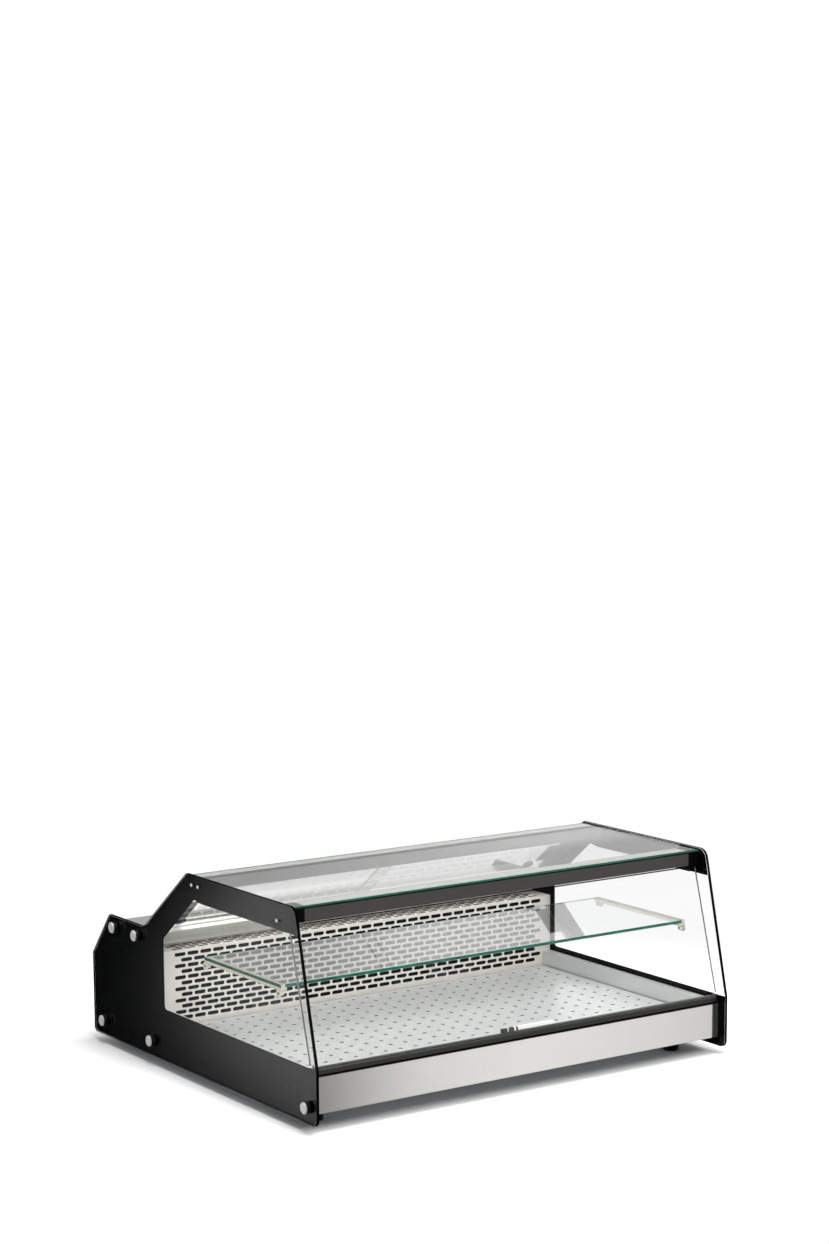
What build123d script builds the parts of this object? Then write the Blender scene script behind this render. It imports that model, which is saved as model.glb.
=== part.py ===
"""Counter-top refrigerated fish display case, one STEP file for each sub-part, in millimetres.

X runs along the width, Y from the customer's side to the back, Z up from the table top.
Sections are drawn in the case's own lengths: y from the front edge of the glass end panels,
z from their underside.
"""

from math import cos, hypot, radians, sin
import os

from build123d import *

os.makedirs("parts", exist_ok=True)

# Overall sizes
panel_span = 1000.0
panel_height = 405.0
panel_glass = 6.0
panel_gap = 2.0
foot_drop = 18.0
sheet = 1.0

# Lengths from front to back
fascia_setback = 20.0
front_wall = 25.0
well_length = 545.0
evaporator_space = 65.0
partition_wall = 25.0
machine_space = 185.0
rear_setback = 13.0

# Heights above the underside of the end panels
base_lift = 20.0
floor_insulation = 30.0
well_depth = 45.0
cover_height = 222.0
partition_height = 240.0
deck_height = 252.0
knee_height = 108.0
ledge_height = 265.0
rear_corner_height = 171.0

# Outline of the end panels
top_setback = 70.0
top_edge_length = 405.0
rear_slope_run = 77.0
front_foot_radius = 14.0
top_front_radius = 23.0
valley_radius = 40.0
rear_foot_radius = 12.0
small_radius = 4.0
trim_top = 352.0
trim_width = 1.5

# Fixings of the end panels
stud_radius = 3.0
stud_clearance = 0.4
collar_radius = 12.0
collar_height = 8.0
cap_radius = 11.5
cap_height = 2.5
cap_chamfer = 1.6
cap_inset_back = 49.0
cap_row_step = 53.0
cap_inset_slope = 27.0
cap_inset_cover = 36.0
cap_inset_front = 11.0
cap_under_deck = 10.0
cap_over_base = 13.0
spacer_radius = 4.5
screw_head_radius = 3.2
screw_head_height = 2.0
screw_radius = 2.0
screw_reach = 9.0
screw_clearance = 0.15
rear_screw_inset = 17.0
rear_screw_pitch = 25.0
rear_screw_drop = 11.5
front_screw_inset = 18.0
front_screw_drop = 0.5

# Fascia, front rail and front glass
fascia_height = 70.0
fascia_return = 3.5
fascia_lip = 15.0
channel_height = 13.0
rail_half_width = 11.0
rail_above = 5.5
rail_below = 4.5
rail_chamfer = 1.5
groove_clearance = 0.8
pivot_height = 99.0
pivot_radius = 4.0
pivot_clearance = 0.05
pivot_block = 5.5
pivot_plate = 2.0
front_glass_thickness = 6.0
front_glass_length = 276.6
front_glass_lean = 15.5
front_glass_offset = 8.4
front_glass_foot = -2.0
front_glass_notch = 14.0
seal_wall = 1.5
seal_depth = 1.0
side_clearance = 2.0
slide_clearance = 0.3

# Top glass and the beams that carry it
top_glass_thickness = 6.0
top_glass_recess = 2.5
beam_front = 88.0
beam_depth = 40.0
beam_height = 26.0
beam_wall = 3.0
bracket_length = 28.0
bracket_plate = 10.0
bracket_drop = 17.0
bracket_plate_front = 106.0
bracket_plate_back = 150.0
lamp_width = 22.0
lamp_height = 7.0
rear_beam_depth = 54.0
rear_beam_height = 24.0
rear_beam_stop = 5.0

# Sliding doors on the rear slope
door_glass = 4.0
door_pitch = 12.0
door_overlap = 16.0
door_groove_clearance = 0.5
door_foot_clearance = 0.4
track_inset = 6.0
track_width = 28.0
track_upper = 24.0
track_lower = 26.0
track_lower_gap = 7.0
track_groove = 16.0
track_wall = 4.0
track_foot_front = 24.0
track_foot_back = 8.0
track_foot_height = 18.0
jamb_width = 10.0
grip_radius = 12.0
grip_dish_radius = 9.0
grip_height = 5.0
grip_dish = 3.5
grip_from_edge = 41.0
grip_down = 175.0

# Shelf
shelf_glass_thickness = 6.0
shelf_height = 240.0
shelf_front = 131.0
shelf_depth = 287.0
shelf_rail_width = 13.0
shelf_rail_height = 6.0
shelf_lip_width = 8.5
shelf_lip = 1.5
shelf_pin_radius = 5.0
shelf_pin_length = 12.0
shelf_pin_dome = 3.0
shelf_pin_flange = 8.0
shelf_pin_inset = 6.0

# Ice well
side_insulation = 20.0
tray_height = 14.0
tray_margin = 9.0
tray_side_margin = 5.0
tray_hole_radius = 4.0
tray_hole_pitch = 35.0
drain_radius = 10.0
drain_bore = 7.5
drain_flange = 20.0
drain_drop = 18.0
drain_back = 150.0
thermometer_length = 97.0
thermometer_end_length = 31.0
thermometer_height = 25.0
thermometer_depth = 6.0
thermometer_right = 86.0
thermometer_base = 85.0

# Perforated evaporator cover
slot_length = 25.5
slot_width = 7.6
slot_pitch = 30.0
slot_row_pitch = 12.0
slot_columns = 31
slot_rows = 12
slot_top_margin = 9.0
flange_slot_rows = 4

# Evaporator and its fans
fin = 1.0
fin_pitch = 12.0
coil_plate = 2.0
coil_depth = 30.0
coil_half_length = 420.0
coil_tube_radius = 5.0
coil_tube_pitch = 25.0
coil_tubes = 6
coil_tube_stub = 6.0
fan_spacing = 440.0
fan_square = 120.0
fan_depth = 25.0
fan_ring_radius = 56.0
fan_tip_clearance = 3.0
fan_hub_radius = 19.0
fan_post_radius = 3.0
fan_height = 137.0

# Machine space
plate_thickness = 2.0
compressor_x = -200.0
compressor_radius = 62.0
compressor_height = 154.0
compressor_plate = 150.0
mount_height = 10.0
mount_radius = 12.0
condenser_left = 30.0
condenser_width = 220.0
condenser_height = 145.0
condenser_depth = 38.0
condenser_gap = 10.0
condenser_fin_pitch = 8.0
condenser_tube_pitch = 25.0
condenser_tubes = 5
condenser_fan_depth = 22.0
condenser_ring_radius = 66.0
condenser_hub_radius = 24.0
motor_radius = 28.0
motor_length = 32.0
pipe_radius = 4.0
pipe_hole_clearance = 2.0
pipe_bend = 12.0

# Rear panels, controls and feet
deck_rear_gap = 6.0
rear_wall_gap = 5.0
louvre_length = 60.0
louvre_height = 5.0
louvre_pitch = 70.0
louvre_row_pitch = 12.0
controller_x = 330.0
controller_width = 78.0
controller_height = 36.0
controller_front = 5.0
controller_body_depth = 45.0
cutout_clearance = 0.5
key_size = 9.0
key_pitch = 11.0
key_thickness = 3.0
key_proud = 1.2
key_clearance = 0.2
key_pocket = 3.0
switch_x = 420.0
switch_width = 24.0
switch_height = 34.0
switch_front = 2.5
switch_body_depth = 20.0
rocker_width = 16.0
rocker_half_height = 11.6
rocker_tilt = 8.0
gland_x = -420.0
gland_height = 60.0
gland_radius = 9.0
gland_bore = 4.0
foot_radius = 17.0
foot_chamfer = 2.0
foot_inset = 62.0
foot_from_edge = 105.0

# Stations worked out from front to back
well_front = fascia_setback + front_wall
cover_front = well_front + well_length
evaporator_back = cover_front + sheet + evaporator_space
machine_front = evaporator_back + partition_wall
rear_inside = machine_front + machine_space
rear_face = rear_inside + sheet
depth = rear_face + rear_setback
shell_front = fascia_setback + sheet
top_rear = top_setback + top_edge_length
deck_rear = depth - rear_slope_run - deck_rear_gap

# Stations worked out from the bottom up
base_top = base_lift + sheet
liner_under = base_top + floor_insulation
floor_top = liner_under + sheet
rim_top = floor_top + well_depth
channel_base = rim_top - channel_height
top_glass_top = panel_height - top_glass_recess
glass_under = top_glass_top - top_glass_thickness
rear_wall_top = rear_corner_height - rear_wall_gap

# Stations worked out from the middle to the sides
inner_half = panel_span / 2 - panel_glass
carcass_half = inner_half - panel_gap
foam_half = carcass_half - sheet
liner_half = foam_half - side_insulation
well_half = liner_half - sheet

# Slope of the sliding doors
slope_run = evaporator_back - top_rear
slope_drop = panel_height - ledge_height
slope_length = hypot(slope_run, slope_drop)

# Slope of the control panel
control_run = rear_face - deck_rear
control_drop = deck_height - rear_wall_top
control_length = hypot(control_run, control_drop)
control_step_y = sheet * control_length / control_drop
control_step_z = sheet * control_length / control_run

# Working planes
side = Plane(origin=(0, -depth / 2, foot_drop), x_dir=(0, 1, 0), z_dir=(1, 0, 0))
plan = Plane(origin=(0, -depth / 2, foot_drop), x_dir=(1, 0, 0), z_dir=(0, 0, 1))
door_origin = (0, top_rear - depth / 2, panel_height + foot_drop)
door_section = Plane(origin=door_origin, x_dir=(0, slope_run, -slope_drop), z_dir=(1, 0, 0))
door_face = Plane(origin=door_origin, x_dir=(1, 0, 0), z_dir=(0, slope_drop, slope_run))
control_origin = (0, deck_rear - depth / 2, deck_height + foot_drop)
control_section = Plane(origin=control_origin, x_dir=(0, control_run, -control_drop), z_dir=(1, 0, 0))
control_face = Plane(origin=control_origin, x_dir=(1, 0, 0), z_dir=(0, control_drop, control_run))


def save(part, name):
    """Label a finished sub-part and write its file."""
    part.label = name
    export_step(part, f"parts/{name}.step")


def both_sides(inner, outer):
    """Return the left and the right range of x between two distances from the middle."""
    return [(-outer, -inner), (inner, outer)]


def block(x_range, y_range, z_range, mode=Mode.ADD):
    """Add a rectangular block."""
    with BuildSketch(plan.offset(z_range[0])) as section:
        with Locations(((x_range[0] + x_range[1]) / 2, (y_range[0] + y_range[1]) / 2)):
            Rectangle(x_range[1] - x_range[0], y_range[1] - y_range[0])
    extrude(section.sketch, amount=z_range[1] - z_range[0], mode=mode)


def bar(corners, x_range, mode=Mode.ADD):
    """Add a bar along the width, from the corners of its section in y and z."""
    with BuildSketch(side.offset(x_range[0])) as section:
        with BuildLine():
            Polyline(*corners, close=True)
        make_face()
    extrude(section.sketch, amount=x_range[1] - x_range[0], mode=mode)


def rods(places, radius, x_range, mode=Mode.ADD):
    """Add round rods along the width, at places given in y and z."""
    with BuildSketch(side.offset(x_range[0])) as section:
        with Locations(*places):
            Circle(radius)
    extrude(section.sketch, amount=x_range[1] - x_range[0], mode=mode)


def post(x, y, z_range, radius, mode=Mode.ADD):
    """Add an upright round post."""
    with BuildSketch(plan.offset(z_range[0])) as section:
        with Locations((x, y)):
            Circle(radius)
    extrude(section.sketch, amount=z_range[1] - z_range[0], mode=mode)


def slope_bar(down_range, in_range, x_range, mode=Mode.ADD):
    """Add a bar along the door slope's width, by its distance down the slope and in from it."""
    with BuildSketch(door_section.offset(x_range[0])) as section:
        with Locations(((down_range[0] + down_range[1]) / 2, -(in_range[0] + in_range[1]) / 2)):
            Rectangle(down_range[1] - down_range[0], in_range[1] - in_range[0])
    extrude(section.sketch, amount=x_range[1] - x_range[0], mode=mode)


def control_block(centre, size, out_range, mode=Mode.ADD):
    """Add a block standing on the control panel, from its centre across and down the slope."""
    with BuildSketch(control_face.offset(out_range[0])) as section:
        with Locations(centre):
            Rectangle(*size)
    extrude(section.sketch, amount=out_range[1] - out_range[0], mode=mode)


def across(x, y, z, facing):
    """Return a plane across the case at a point, facing the front (-1) or the back (1)."""
    return Plane(origin=(x, y - depth / 2, z + foot_drop), x_dir=(1, 0, 0), z_dir=(0, facing, 0))


def pipe(*points):
    """Add a bent pipe through the points."""
    places = [(x, y - depth / 2, z + foot_drop) for x, y, z in points]
    with BuildLine() as path:
        FilletPolyline(*places, radius=pipe_bend)
    with BuildSketch(Plane(origin=path.line @ 0, z_dir=path.line % 0)) as section:
        Circle(pipe_radius)
    sweep(section.sketch, path=path.line)


def fan_frame(plane, width, height, ring_radius, deep, post_radius):
    """Add a fan frame: square duct, spokes on the plane, hub disc and the post that carries the fan."""
    spoke = deep / 8
    with BuildSketch(plane) as section:
        Rectangle(width, height)
        Circle(ring_radius, mode=Mode.SUBTRACT)
    extrude(section.sketch, amount=deep)
    with BuildSketch(plane) as section:
        Rectangle(2 * ring_radius + 2, spoke * 2)
        Rectangle(spoke * 2, 2 * ring_radius + 2)
        Circle(post_radius * 5)
    extrude(section.sketch, amount=spoke)
    with BuildSketch(plane.offset(spoke)) as section:
        Circle(post_radius)
    extrude(section.sketch, amount=deep - 2 * spoke)


def fan_rotor(plane, tip_radius, hub_radius, deep, bore, blades):
    """Add a fan: hub with a running bore and pitched blades, standing on the plane."""
    with BuildSketch(plane) as section:
        Circle(hub_radius)
    extrude(section.sketch, amount=deep)
    for step in range(blades):
        turn = radians(360 / blades * step)
        outward = plane.x_dir * cos(turn) + plane.y_dir * sin(turn)
        middle = plane.origin + plane.z_dir * (deep / 2)
        tangent = plane.z_dir.cross(outward)
        root = Plane(origin=middle, x_dir=tangent, z_dir=outward).offset(hub_radius - 2)
        with BuildSketch(root) as section:
            Rectangle(deep, 1.6, rotation=35)
        extrude(section.sketch, amount=tip_radius - hub_radius + 2)
    with BuildSketch(plane) as section:
        Circle(bore)
    extrude(section.sketch, amount=deep, mode=Mode.SUBTRACT)


# End panels: the slanted front edge steps back behind its trim
def front_edge(z):
    """Return how far back the end panel's front edge lies at a height above the knee."""
    return (z - knee_height) * top_setback / (panel_height - knee_height)


panel_corners = [
    (0, 0),
    (0, knee_height),
    (top_setback, panel_height),
    (top_rear, panel_height),
    (evaporator_back, ledge_height),
    (depth - rear_slope_run, ledge_height),
    (depth, rear_corner_height),
    (depth, 0),
]
panel_radii = [
    front_foot_radius,
    0,
    top_front_radius,
    small_radius,
    valley_radius,
    small_radius,
    small_radius,
    rear_foot_radius,
]
trim_corners = [
    (0, knee_height),
    (front_edge(trim_top), trim_top),
    (front_edge(trim_top) + trim_width, trim_top),
    (trim_width, knee_height),
]
cap_places = [
    (depth - cap_inset_back - cap_row_step, deck_height - cap_under_deck),
    (evaporator_back + cap_inset_slope, deck_height - cap_under_deck),
    (depth - cap_inset_back, base_lift + cap_over_base),
    (cover_front + cap_inset_cover, base_lift + cap_over_base),
    (fascia_setback + cap_inset_front, base_lift + cap_over_base),
]
rear_beam_back = top_rear - rear_beam_stop
rear_beam_front = rear_beam_back - rear_beam_depth
rear_screw_height = glass_under - rear_screw_drop
front_screw_place = (bracket_plate_back - front_screw_inset, glass_under - beam_height - front_screw_drop)
screw_places = [
    (rear_beam_back - rear_screw_inset, rear_screw_height),
    (rear_beam_back - rear_screw_inset - rear_screw_pitch, rear_screw_height),
    front_screw_place,
]

for name, x_start in (("left_end_panel", -panel_span / 2), ("right_end_panel", inner_half)):
    with BuildPart() as end_panel:
        with BuildSketch(side.offset(x_start)):
            with BuildLine():
                FilletPolyline(*panel_corners, radius=panel_radii, close=True)
            make_face()
            with BuildLine():
                Polyline(*trim_corners, close=True)
            make_face(mode=Mode.SUBTRACT)
            with Locations(*cap_places):
                Circle(stud_radius + stud_clearance, mode=Mode.SUBTRACT)
            with Locations(*screw_places):
                Circle(screw_radius + stud_clearance, mode=Mode.SUBTRACT)
        extrude(amount=panel_glass)
    save(end_panel.part, name)

with BuildPart() as edge_trims:
    for x_range in both_sides(inner_half, panel_span / 2):
        bar(trim_corners, x_range)
save(edge_trims.part, "edge_trims")

# Fixings through the end panels
collar_out = panel_span / 2 + collar_height

with BuildPart() as panel_collars:
    for x_range in both_sides(panel_span / 2, collar_out):
        rods(cap_places, collar_radius, x_range)
        rods(cap_places, stud_radius + stud_clearance, x_range, mode=Mode.SUBTRACT)
save(panel_collars.part, "panel_collars")

with BuildPart() as panel_caps:
    for x_range in both_sides(collar_out, collar_out + cap_height):
        rods(cap_places, cap_radius, x_range)
    outer_rims = panel_caps.edges().group_by(Axis.X)
    chamfer(outer_rims[0] + outer_rims[-1], length=cap_chamfer)
save(panel_caps.part, "panel_caps")

with BuildPart() as panel_studs:
    for x_range in both_sides(carcass_half, collar_out):
        rods(cap_places, stud_radius, x_range)
save(panel_studs.part, "panel_studs")

with BuildPart() as panel_spacers:
    for x_range in both_sides(carcass_half, inner_half):
        rods(cap_places, spacer_radius, x_range)
        rods(cap_places, stud_radius + stud_clearance, x_range, mode=Mode.SUBTRACT)
save(panel_spacers.part, "panel_spacers")

with BuildPart() as beam_screws:
    for x_range in both_sides(panel_span / 2, panel_span / 2 + screw_head_height):
        rods(screw_places, screw_head_radius, x_range)
    head_rims = beam_screws.edges().group_by(Axis.X)
    chamfer(head_rims[0] + head_rims[-1], length=screw_head_height / 3)
    for x_range in both_sides(inner_half - screw_reach, panel_span / 2):
        rods(screw_places, screw_radius, x_range)
save(beam_screws.part, "beam_screws")

# Carcass, insulation and ice well
drain_place = (0, drain_back)
wall_corners = [
    (shell_front, base_lift),
    (shell_front, channel_base),
    (well_front - sheet, channel_base),
    (well_front - sheet, rim_top - sheet),
    (evaporator_back, rim_top - sheet),
    (evaporator_back, deck_height - sheet),
    (deck_rear - control_step_y + sheet * control_run / control_drop, deck_height - sheet),
    (rear_inside, rear_wall_top + sheet * control_drop / control_run - control_step_z),
    (rear_inside, base_lift),
]

with BuildPart() as carcass_shell:
    block((-carcass_half, carcass_half), (shell_front, rear_inside), (base_lift, base_top))
    for x_range in both_sides(foam_half, carcass_half):
        bar(wall_corners, x_range)
    post(*drain_place, (base_lift, base_top), drain_radius + slide_clearance, mode=Mode.SUBTRACT)
save(carcass_shell.part, "carcass_shell")

with BuildPart() as base_insulation:
    block((-foam_half, foam_half), (shell_front, evaporator_back), (base_top, liner_under))
    block((-foam_half, foam_half), (shell_front, well_front - sheet), (liner_under, channel_base))
    for x_range in both_sides(liner_half, foam_half):
        block(x_range, (well_front - sheet, evaporator_back), (liner_under, rim_top - sheet))
    post(*drain_place, (base_top, liner_under), drain_radius + slide_clearance, mode=Mode.SUBTRACT)
save(base_insulation.part, "base_insulation")

# The refrigerant pipes pass the liner and the partition beside the evaporator coil
pipe_pass_x = coil_half_length + 30
suction_height = floor_top + 23 + 2 * coil_tube_pitch
liquid_height = floor_top + 23
pipe_passes = [(-pipe_pass_x, suction_height), (pipe_pass_x, liquid_height)]

with BuildPart() as well_liner:
    block((-liner_half, liner_half), (well_front - sheet, evaporator_back), (liner_under, floor_top))
    block((-liner_half, liner_half), (well_front - sheet, well_front), (liner_under, rim_top))
    for x_range in both_sides(well_half, liner_half):
        block(x_range, (well_front - sheet, evaporator_back), (liner_under, rim_top))
    for x_range in both_sides(well_half, foam_half):
        block(x_range, (well_front - sheet, evaporator_back), (rim_top - sheet, rim_top))
        block(x_range, (evaporator_back - sheet, evaporator_back), (rim_top - sheet, cover_height))
    block((-well_half, well_half), (evaporator_back - sheet, evaporator_back), (liner_under, cover_height))
    post(*drain_place, (liner_under, floor_top), drain_bore, mode=Mode.SUBTRACT)
    with BuildSketch(across(0, evaporator_back, 0, -1)):
        for x, z in pipe_passes:
            with Locations((x, z)):
                Circle(pipe_radius + pipe_hole_clearance)
    extrude(amount=sheet, mode=Mode.SUBTRACT)
save(well_liner.part, "well_liner")

with BuildPart() as partition:
    block((-foam_half, foam_half), (evaporator_back, machine_front), (base_top, partition_height))
    with BuildSketch(across(0, machine_front, 0, -1)):
        for x, z in pipe_passes:
            with Locations((x, z)):
                Circle(pipe_radius + pipe_hole_clearance)
    extrude(amount=partition_wall, mode=Mode.SUBTRACT)
save(partition.part, "partition")

with BuildPart() as drain_spigot:
    post(*drain_place, (base_lift - drain_drop, liner_under), drain_radius)
    post(*drain_place, (base_lift - 2 * sheet, base_lift), drain_flange)
    post(*drain_place, (base_lift - drain_drop, liner_under), drain_bore, mode=Mode.SUBTRACT)
save(drain_spigot.part, "drain_spigot")

tray_half = well_half - tray_side_margin
tray_front = well_front + tray_margin
tray_back = cover_front - tray_margin
tray_foot = floor_top + slide_clearance
tray_top = tray_foot + tray_height

with BuildPart() as ice_tray:
    block((-tray_half, tray_half), (tray_front, tray_back), (tray_foot, tray_top))
    block(
        (sheet - tray_half, tray_half - sheet),
        (tray_front + sheet, tray_back - sheet),
        (tray_foot, tray_top - sheet),
        mode=Mode.SUBTRACT,
    )
    with BuildSketch(plan.offset(tray_top - sheet)):
        hole_columns = int((2 * tray_half - tray_hole_pitch) // tray_hole_pitch) + 1
        hole_rows = int((tray_back - tray_front - tray_hole_pitch) // tray_hole_pitch) + 1
        with Locations((0, (tray_front + tray_back) / 2)):
            with GridLocations(tray_hole_pitch, tray_hole_pitch, hole_columns, hole_rows):
                Circle(tray_hole_radius)
    extrude(amount=sheet, mode=Mode.SUBTRACT)
save(ice_tray.part, "ice_tray")

# Strip thermometer against the front wall of the well
thermometer_left = thermometer_right - thermometer_length
thermometer_y = (well_front, well_front + thermometer_depth)
thermometer_z = (thermometer_base, thermometer_base + thermometer_height)

with BuildPart() as thermometer:
    block((thermometer_left, thermometer_right), thermometer_y, thermometer_z)
    fillet(thermometer.faces().sort_by(Axis.X)[-1].edges().filter_by(Axis.Y), radius=3)
save(thermometer.part, "thermometer")

with BuildPart() as thermometer_end:
    block((thermometer_left - thermometer_end_length, thermometer_left), thermometer_y, thermometer_z)
    fillet(thermometer_end.faces().sort_by(Axis.X)[0].edges().filter_by(Axis.Y), radius=3)
save(thermometer_end.part, "thermometer_end")

# Fascia: bent sheet with a return at each end and a lip under the base
fascia_half = (carcass_half + inner_half) / 2
fascia_bottom = base_lift - sheet
fascia_top = base_lift + fascia_height

with BuildPart() as fascia:
    block((-fascia_half, fascia_half), (fascia_setback, shell_front), (fascia_bottom, fascia_top))
    for x_range in both_sides(carcass_half, fascia_half):
        block(x_range, (fascia_setback, fascia_setback + fascia_return), (fascia_bottom, fascia_top))
    lip_range = (fascia_setback, fascia_setback + fascia_lip)
    block((-foam_half, foam_half), lip_range, (fascia_bottom, base_lift))
    front_rim = fascia.faces().sort_by(Axis.Y)[0].edges()
    fillet(front_rim, radius=0.6 * sheet)
save(fascia.part, "fascia")

# Front glass: leaning plate in a rail that turns in the hinge channel
lean = radians(front_glass_lean)
pivot_y = fascia_setback + rail_half_width


def on_glass(offset, along):
    """Return the place at a distance in front of the pivot axis and along the glass."""
    y = pivot_y - offset * cos(lean) + along * sin(lean)
    z = pivot_height + offset * sin(lean) + along * cos(lean)
    return (y, z)


pivot_block_in = inner_half - pivot_block
rail_half = pivot_block_in - slide_clearance - pivot_plate
glass_half = inner_half - side_clearance
glass_back = front_glass_offset - front_glass_thickness
glass_tip = front_glass_foot + front_glass_length
rail_corners = [
    (pivot_y - rail_half_width, pivot_height - rail_below),
    (pivot_y - rail_half_width, pivot_height + rail_above - rail_chamfer),
    (pivot_y - rail_half_width + rail_chamfer, pivot_height + rail_above),
    (pivot_y + rail_half_width - rail_chamfer, pivot_height + rail_above),
    (pivot_y + rail_half_width, pivot_height + rail_above - rail_chamfer),
    (pivot_y + rail_half_width, pivot_height - rail_below),
]
rail_reach = max(
    hypot(rail_half_width, rail_above - rail_chamfer),
    hypot(rail_half_width - rail_chamfer, rail_above),
    hypot(rail_half_width, rail_below),
)
rail_slot_corners = [
    on_glass(front_glass_offset, front_glass_foot),
    on_glass(front_glass_offset, front_glass_foot + 2 * front_glass_notch),
    on_glass(glass_back, front_glass_foot + 2 * front_glass_notch),
    on_glass(glass_back, front_glass_foot),
]

with BuildPart() as hinge_channel:
    block(
        (slide_clearance - pivot_block_in, pivot_block_in - slide_clearance),
        (shell_front + slide_clearance, well_front - sheet - slide_clearance),
        (channel_base, rim_top),
    )
    groove_radius = rail_reach + groove_clearance
    rods([(pivot_y, pivot_height)], groove_radius, (-inner_half, inner_half), mode=Mode.SUBTRACT)
save(hinge_channel.part, "hinge_channel")

with BuildPart() as pivot_blocks:
    for x_range in both_sides(pivot_block_in, inner_half):
        block(x_range, (pivot_y - 7, pivot_y + 7), (pivot_height - 7, pivot_height + 7))
        rods([(pivot_y, pivot_height)], pivot_radius + pivot_clearance, x_range, mode=Mode.SUBTRACT)
save(pivot_blocks.part, "pivot_blocks")

with BuildPart() as rail_pivots:
    for x_range in both_sides(rail_half, rail_half + pivot_plate):
        bar(rail_corners, x_range)
    for x_range in both_sides(rail_half, inner_half - slide_clearance):
        rods([(pivot_y, pivot_height)], pivot_radius, x_range)
save(rail_pivots.part, "rail_pivots")

with BuildPart() as glass_rail:
    bar(rail_corners, (-rail_half, rail_half))
    bar(rail_slot_corners, (-rail_half, rail_half), mode=Mode.SUBTRACT)
save(glass_rail.part, "glass_rail")

glass_foot_y, glass_foot_z = on_glass(front_glass_offset, front_glass_foot)
front_glass_face = Plane(
    origin=(0, glass_foot_y - depth / 2, glass_foot_z + foot_drop),
    x_dir=(1, 0, 0),
    z_dir=(0, -cos(lean), sin(lean)),
)

with BuildPart() as front_glass:
    with BuildSketch(front_glass_face):
        with BuildLine():
            Polyline(
                (-rail_half, 0),
                (-rail_half, front_glass_notch),
                (-glass_half, front_glass_notch),
                (-glass_half, front_glass_length),
                (glass_half, front_glass_length),
                (glass_half, front_glass_notch),
                (rail_half, front_glass_notch),
                (rail_half, 0),
                close=True,
            )
        make_face()
    extrude(amount=-front_glass_thickness)
save(front_glass.part, "front_glass")

with BuildPart() as glass_top_seal:
    seal_corners = [
        on_glass(front_glass_offset + seal_wall, glass_tip - seal_depth),
        on_glass(front_glass_offset + seal_wall, glass_tip + seal_wall),
        on_glass(glass_back - seal_wall, glass_tip + seal_wall),
        on_glass(glass_back - seal_wall, glass_tip - seal_depth),
        on_glass(glass_back, glass_tip - seal_depth),
        on_glass(glass_back, glass_tip),
        on_glass(front_glass_offset, glass_tip),
        on_glass(front_glass_offset, glass_tip - seal_depth),
    ]
    bar(seal_corners, (-glass_half, glass_half))
save(glass_top_seal.part, "glass_top_seal")

# Top glass, front beam with its lamp, brackets and rear beam
top_glass_half = inner_half - 0.5

with BuildPart() as top_glass:
    block((-top_glass_half, top_glass_half), (beam_front, rear_beam_back), (glass_under, top_glass_top))
    chamfer(top_glass.edges().filter_by(Axis.X), length=0.5)
save(top_glass.part, "top_glass")

beam_half = inner_half - bracket_length
beam_under = glass_under - beam_height
beam_back = beam_front + beam_depth
beam_lip = beam_height / 3

with BuildPart() as front_beam:
    beam_corners = [
        (beam_front, beam_under),
        (beam_front, glass_under),
        (beam_back, glass_under),
        (beam_back, glass_under - beam_lip),
        (beam_back - beam_wall, glass_under - beam_lip),
        (beam_back - beam_wall, glass_under - beam_wall),
        (beam_front + beam_wall, glass_under - beam_wall),
        (beam_front + beam_wall, beam_under),
    ]
    bar(beam_corners, (-beam_half, beam_half))
save(front_beam.part, "front_beam")

lamp_middle = (beam_front + beam_back) / 2
lamp_top = glass_under - beam_wall

with BuildPart() as lamp_diffuser:
    lamp_corners = [
        (lamp_middle - lamp_width / 2, lamp_top),
        (lamp_middle + lamp_width / 2, lamp_top),
        (lamp_middle + lamp_width / 3, lamp_top - lamp_height),
        (lamp_middle - lamp_width / 3, lamp_top - lamp_height),
    ]
    bar(lamp_corners, (-beam_half, beam_half))
save(lamp_diffuser.part, "lamp_diffuser")

with BuildPart() as beam_brackets:
    for x_range in both_sides(beam_half, inner_half):
        block(x_range, (beam_front, beam_back), (beam_under, glass_under))
    for x_range in both_sides(inner_half - bracket_plate, inner_half):
        block(x_range, (bracket_plate_front, bracket_plate_back), (beam_under - bracket_drop, glass_under))
        rods([front_screw_place], screw_radius + screw_clearance, x_range, mode=Mode.SUBTRACT)
    fillet(beam_brackets.edges().group_by(Axis.Z)[0].filter_by(Axis.X), radius=2)
save(beam_brackets.part, "beam_brackets")

outer_door_in = track_inset + track_wall
inner_door_in = outer_door_in + door_pitch
full_width = (-inner_half, inner_half)
track_in = (track_inset, track_inset + track_width)
upper_end = track_inset + track_upper
lower_start = slope_length - track_lower_gap - track_lower
lower_end = slope_length - track_lower_gap


def door_grooves(down_range):
    """Cut the two grooves that the doors run in."""
    for door_in in (outer_door_in, inner_door_in):
        groove = (door_in - door_groove_clearance, door_in + door_glass + door_groove_clearance)
        slope_bar(down_range, groove, full_width, mode=Mode.SUBTRACT)


with BuildPart() as rear_beam:
    rear_beam_corners = [
        (rear_beam_front, glass_under - rear_beam_height),
        (rear_beam_front, glass_under),
        (rear_beam_back, glass_under),
        (rear_beam_back, glass_under - rear_beam_height),
    ]
    bar(rear_beam_corners, full_width)
    slope_bar((track_inset, upper_end), track_in, full_width)
    door_grooves((track_inset + track_wall, upper_end))
    for x_range in both_sides(inner_half - screw_reach - 1, inner_half):
        rods(screw_places[:2], screw_radius + screw_clearance, x_range, mode=Mode.SUBTRACT)
save(rear_beam.part, "rear_beam")

track_foot_end = evaporator_back + track_foot_back

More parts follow.
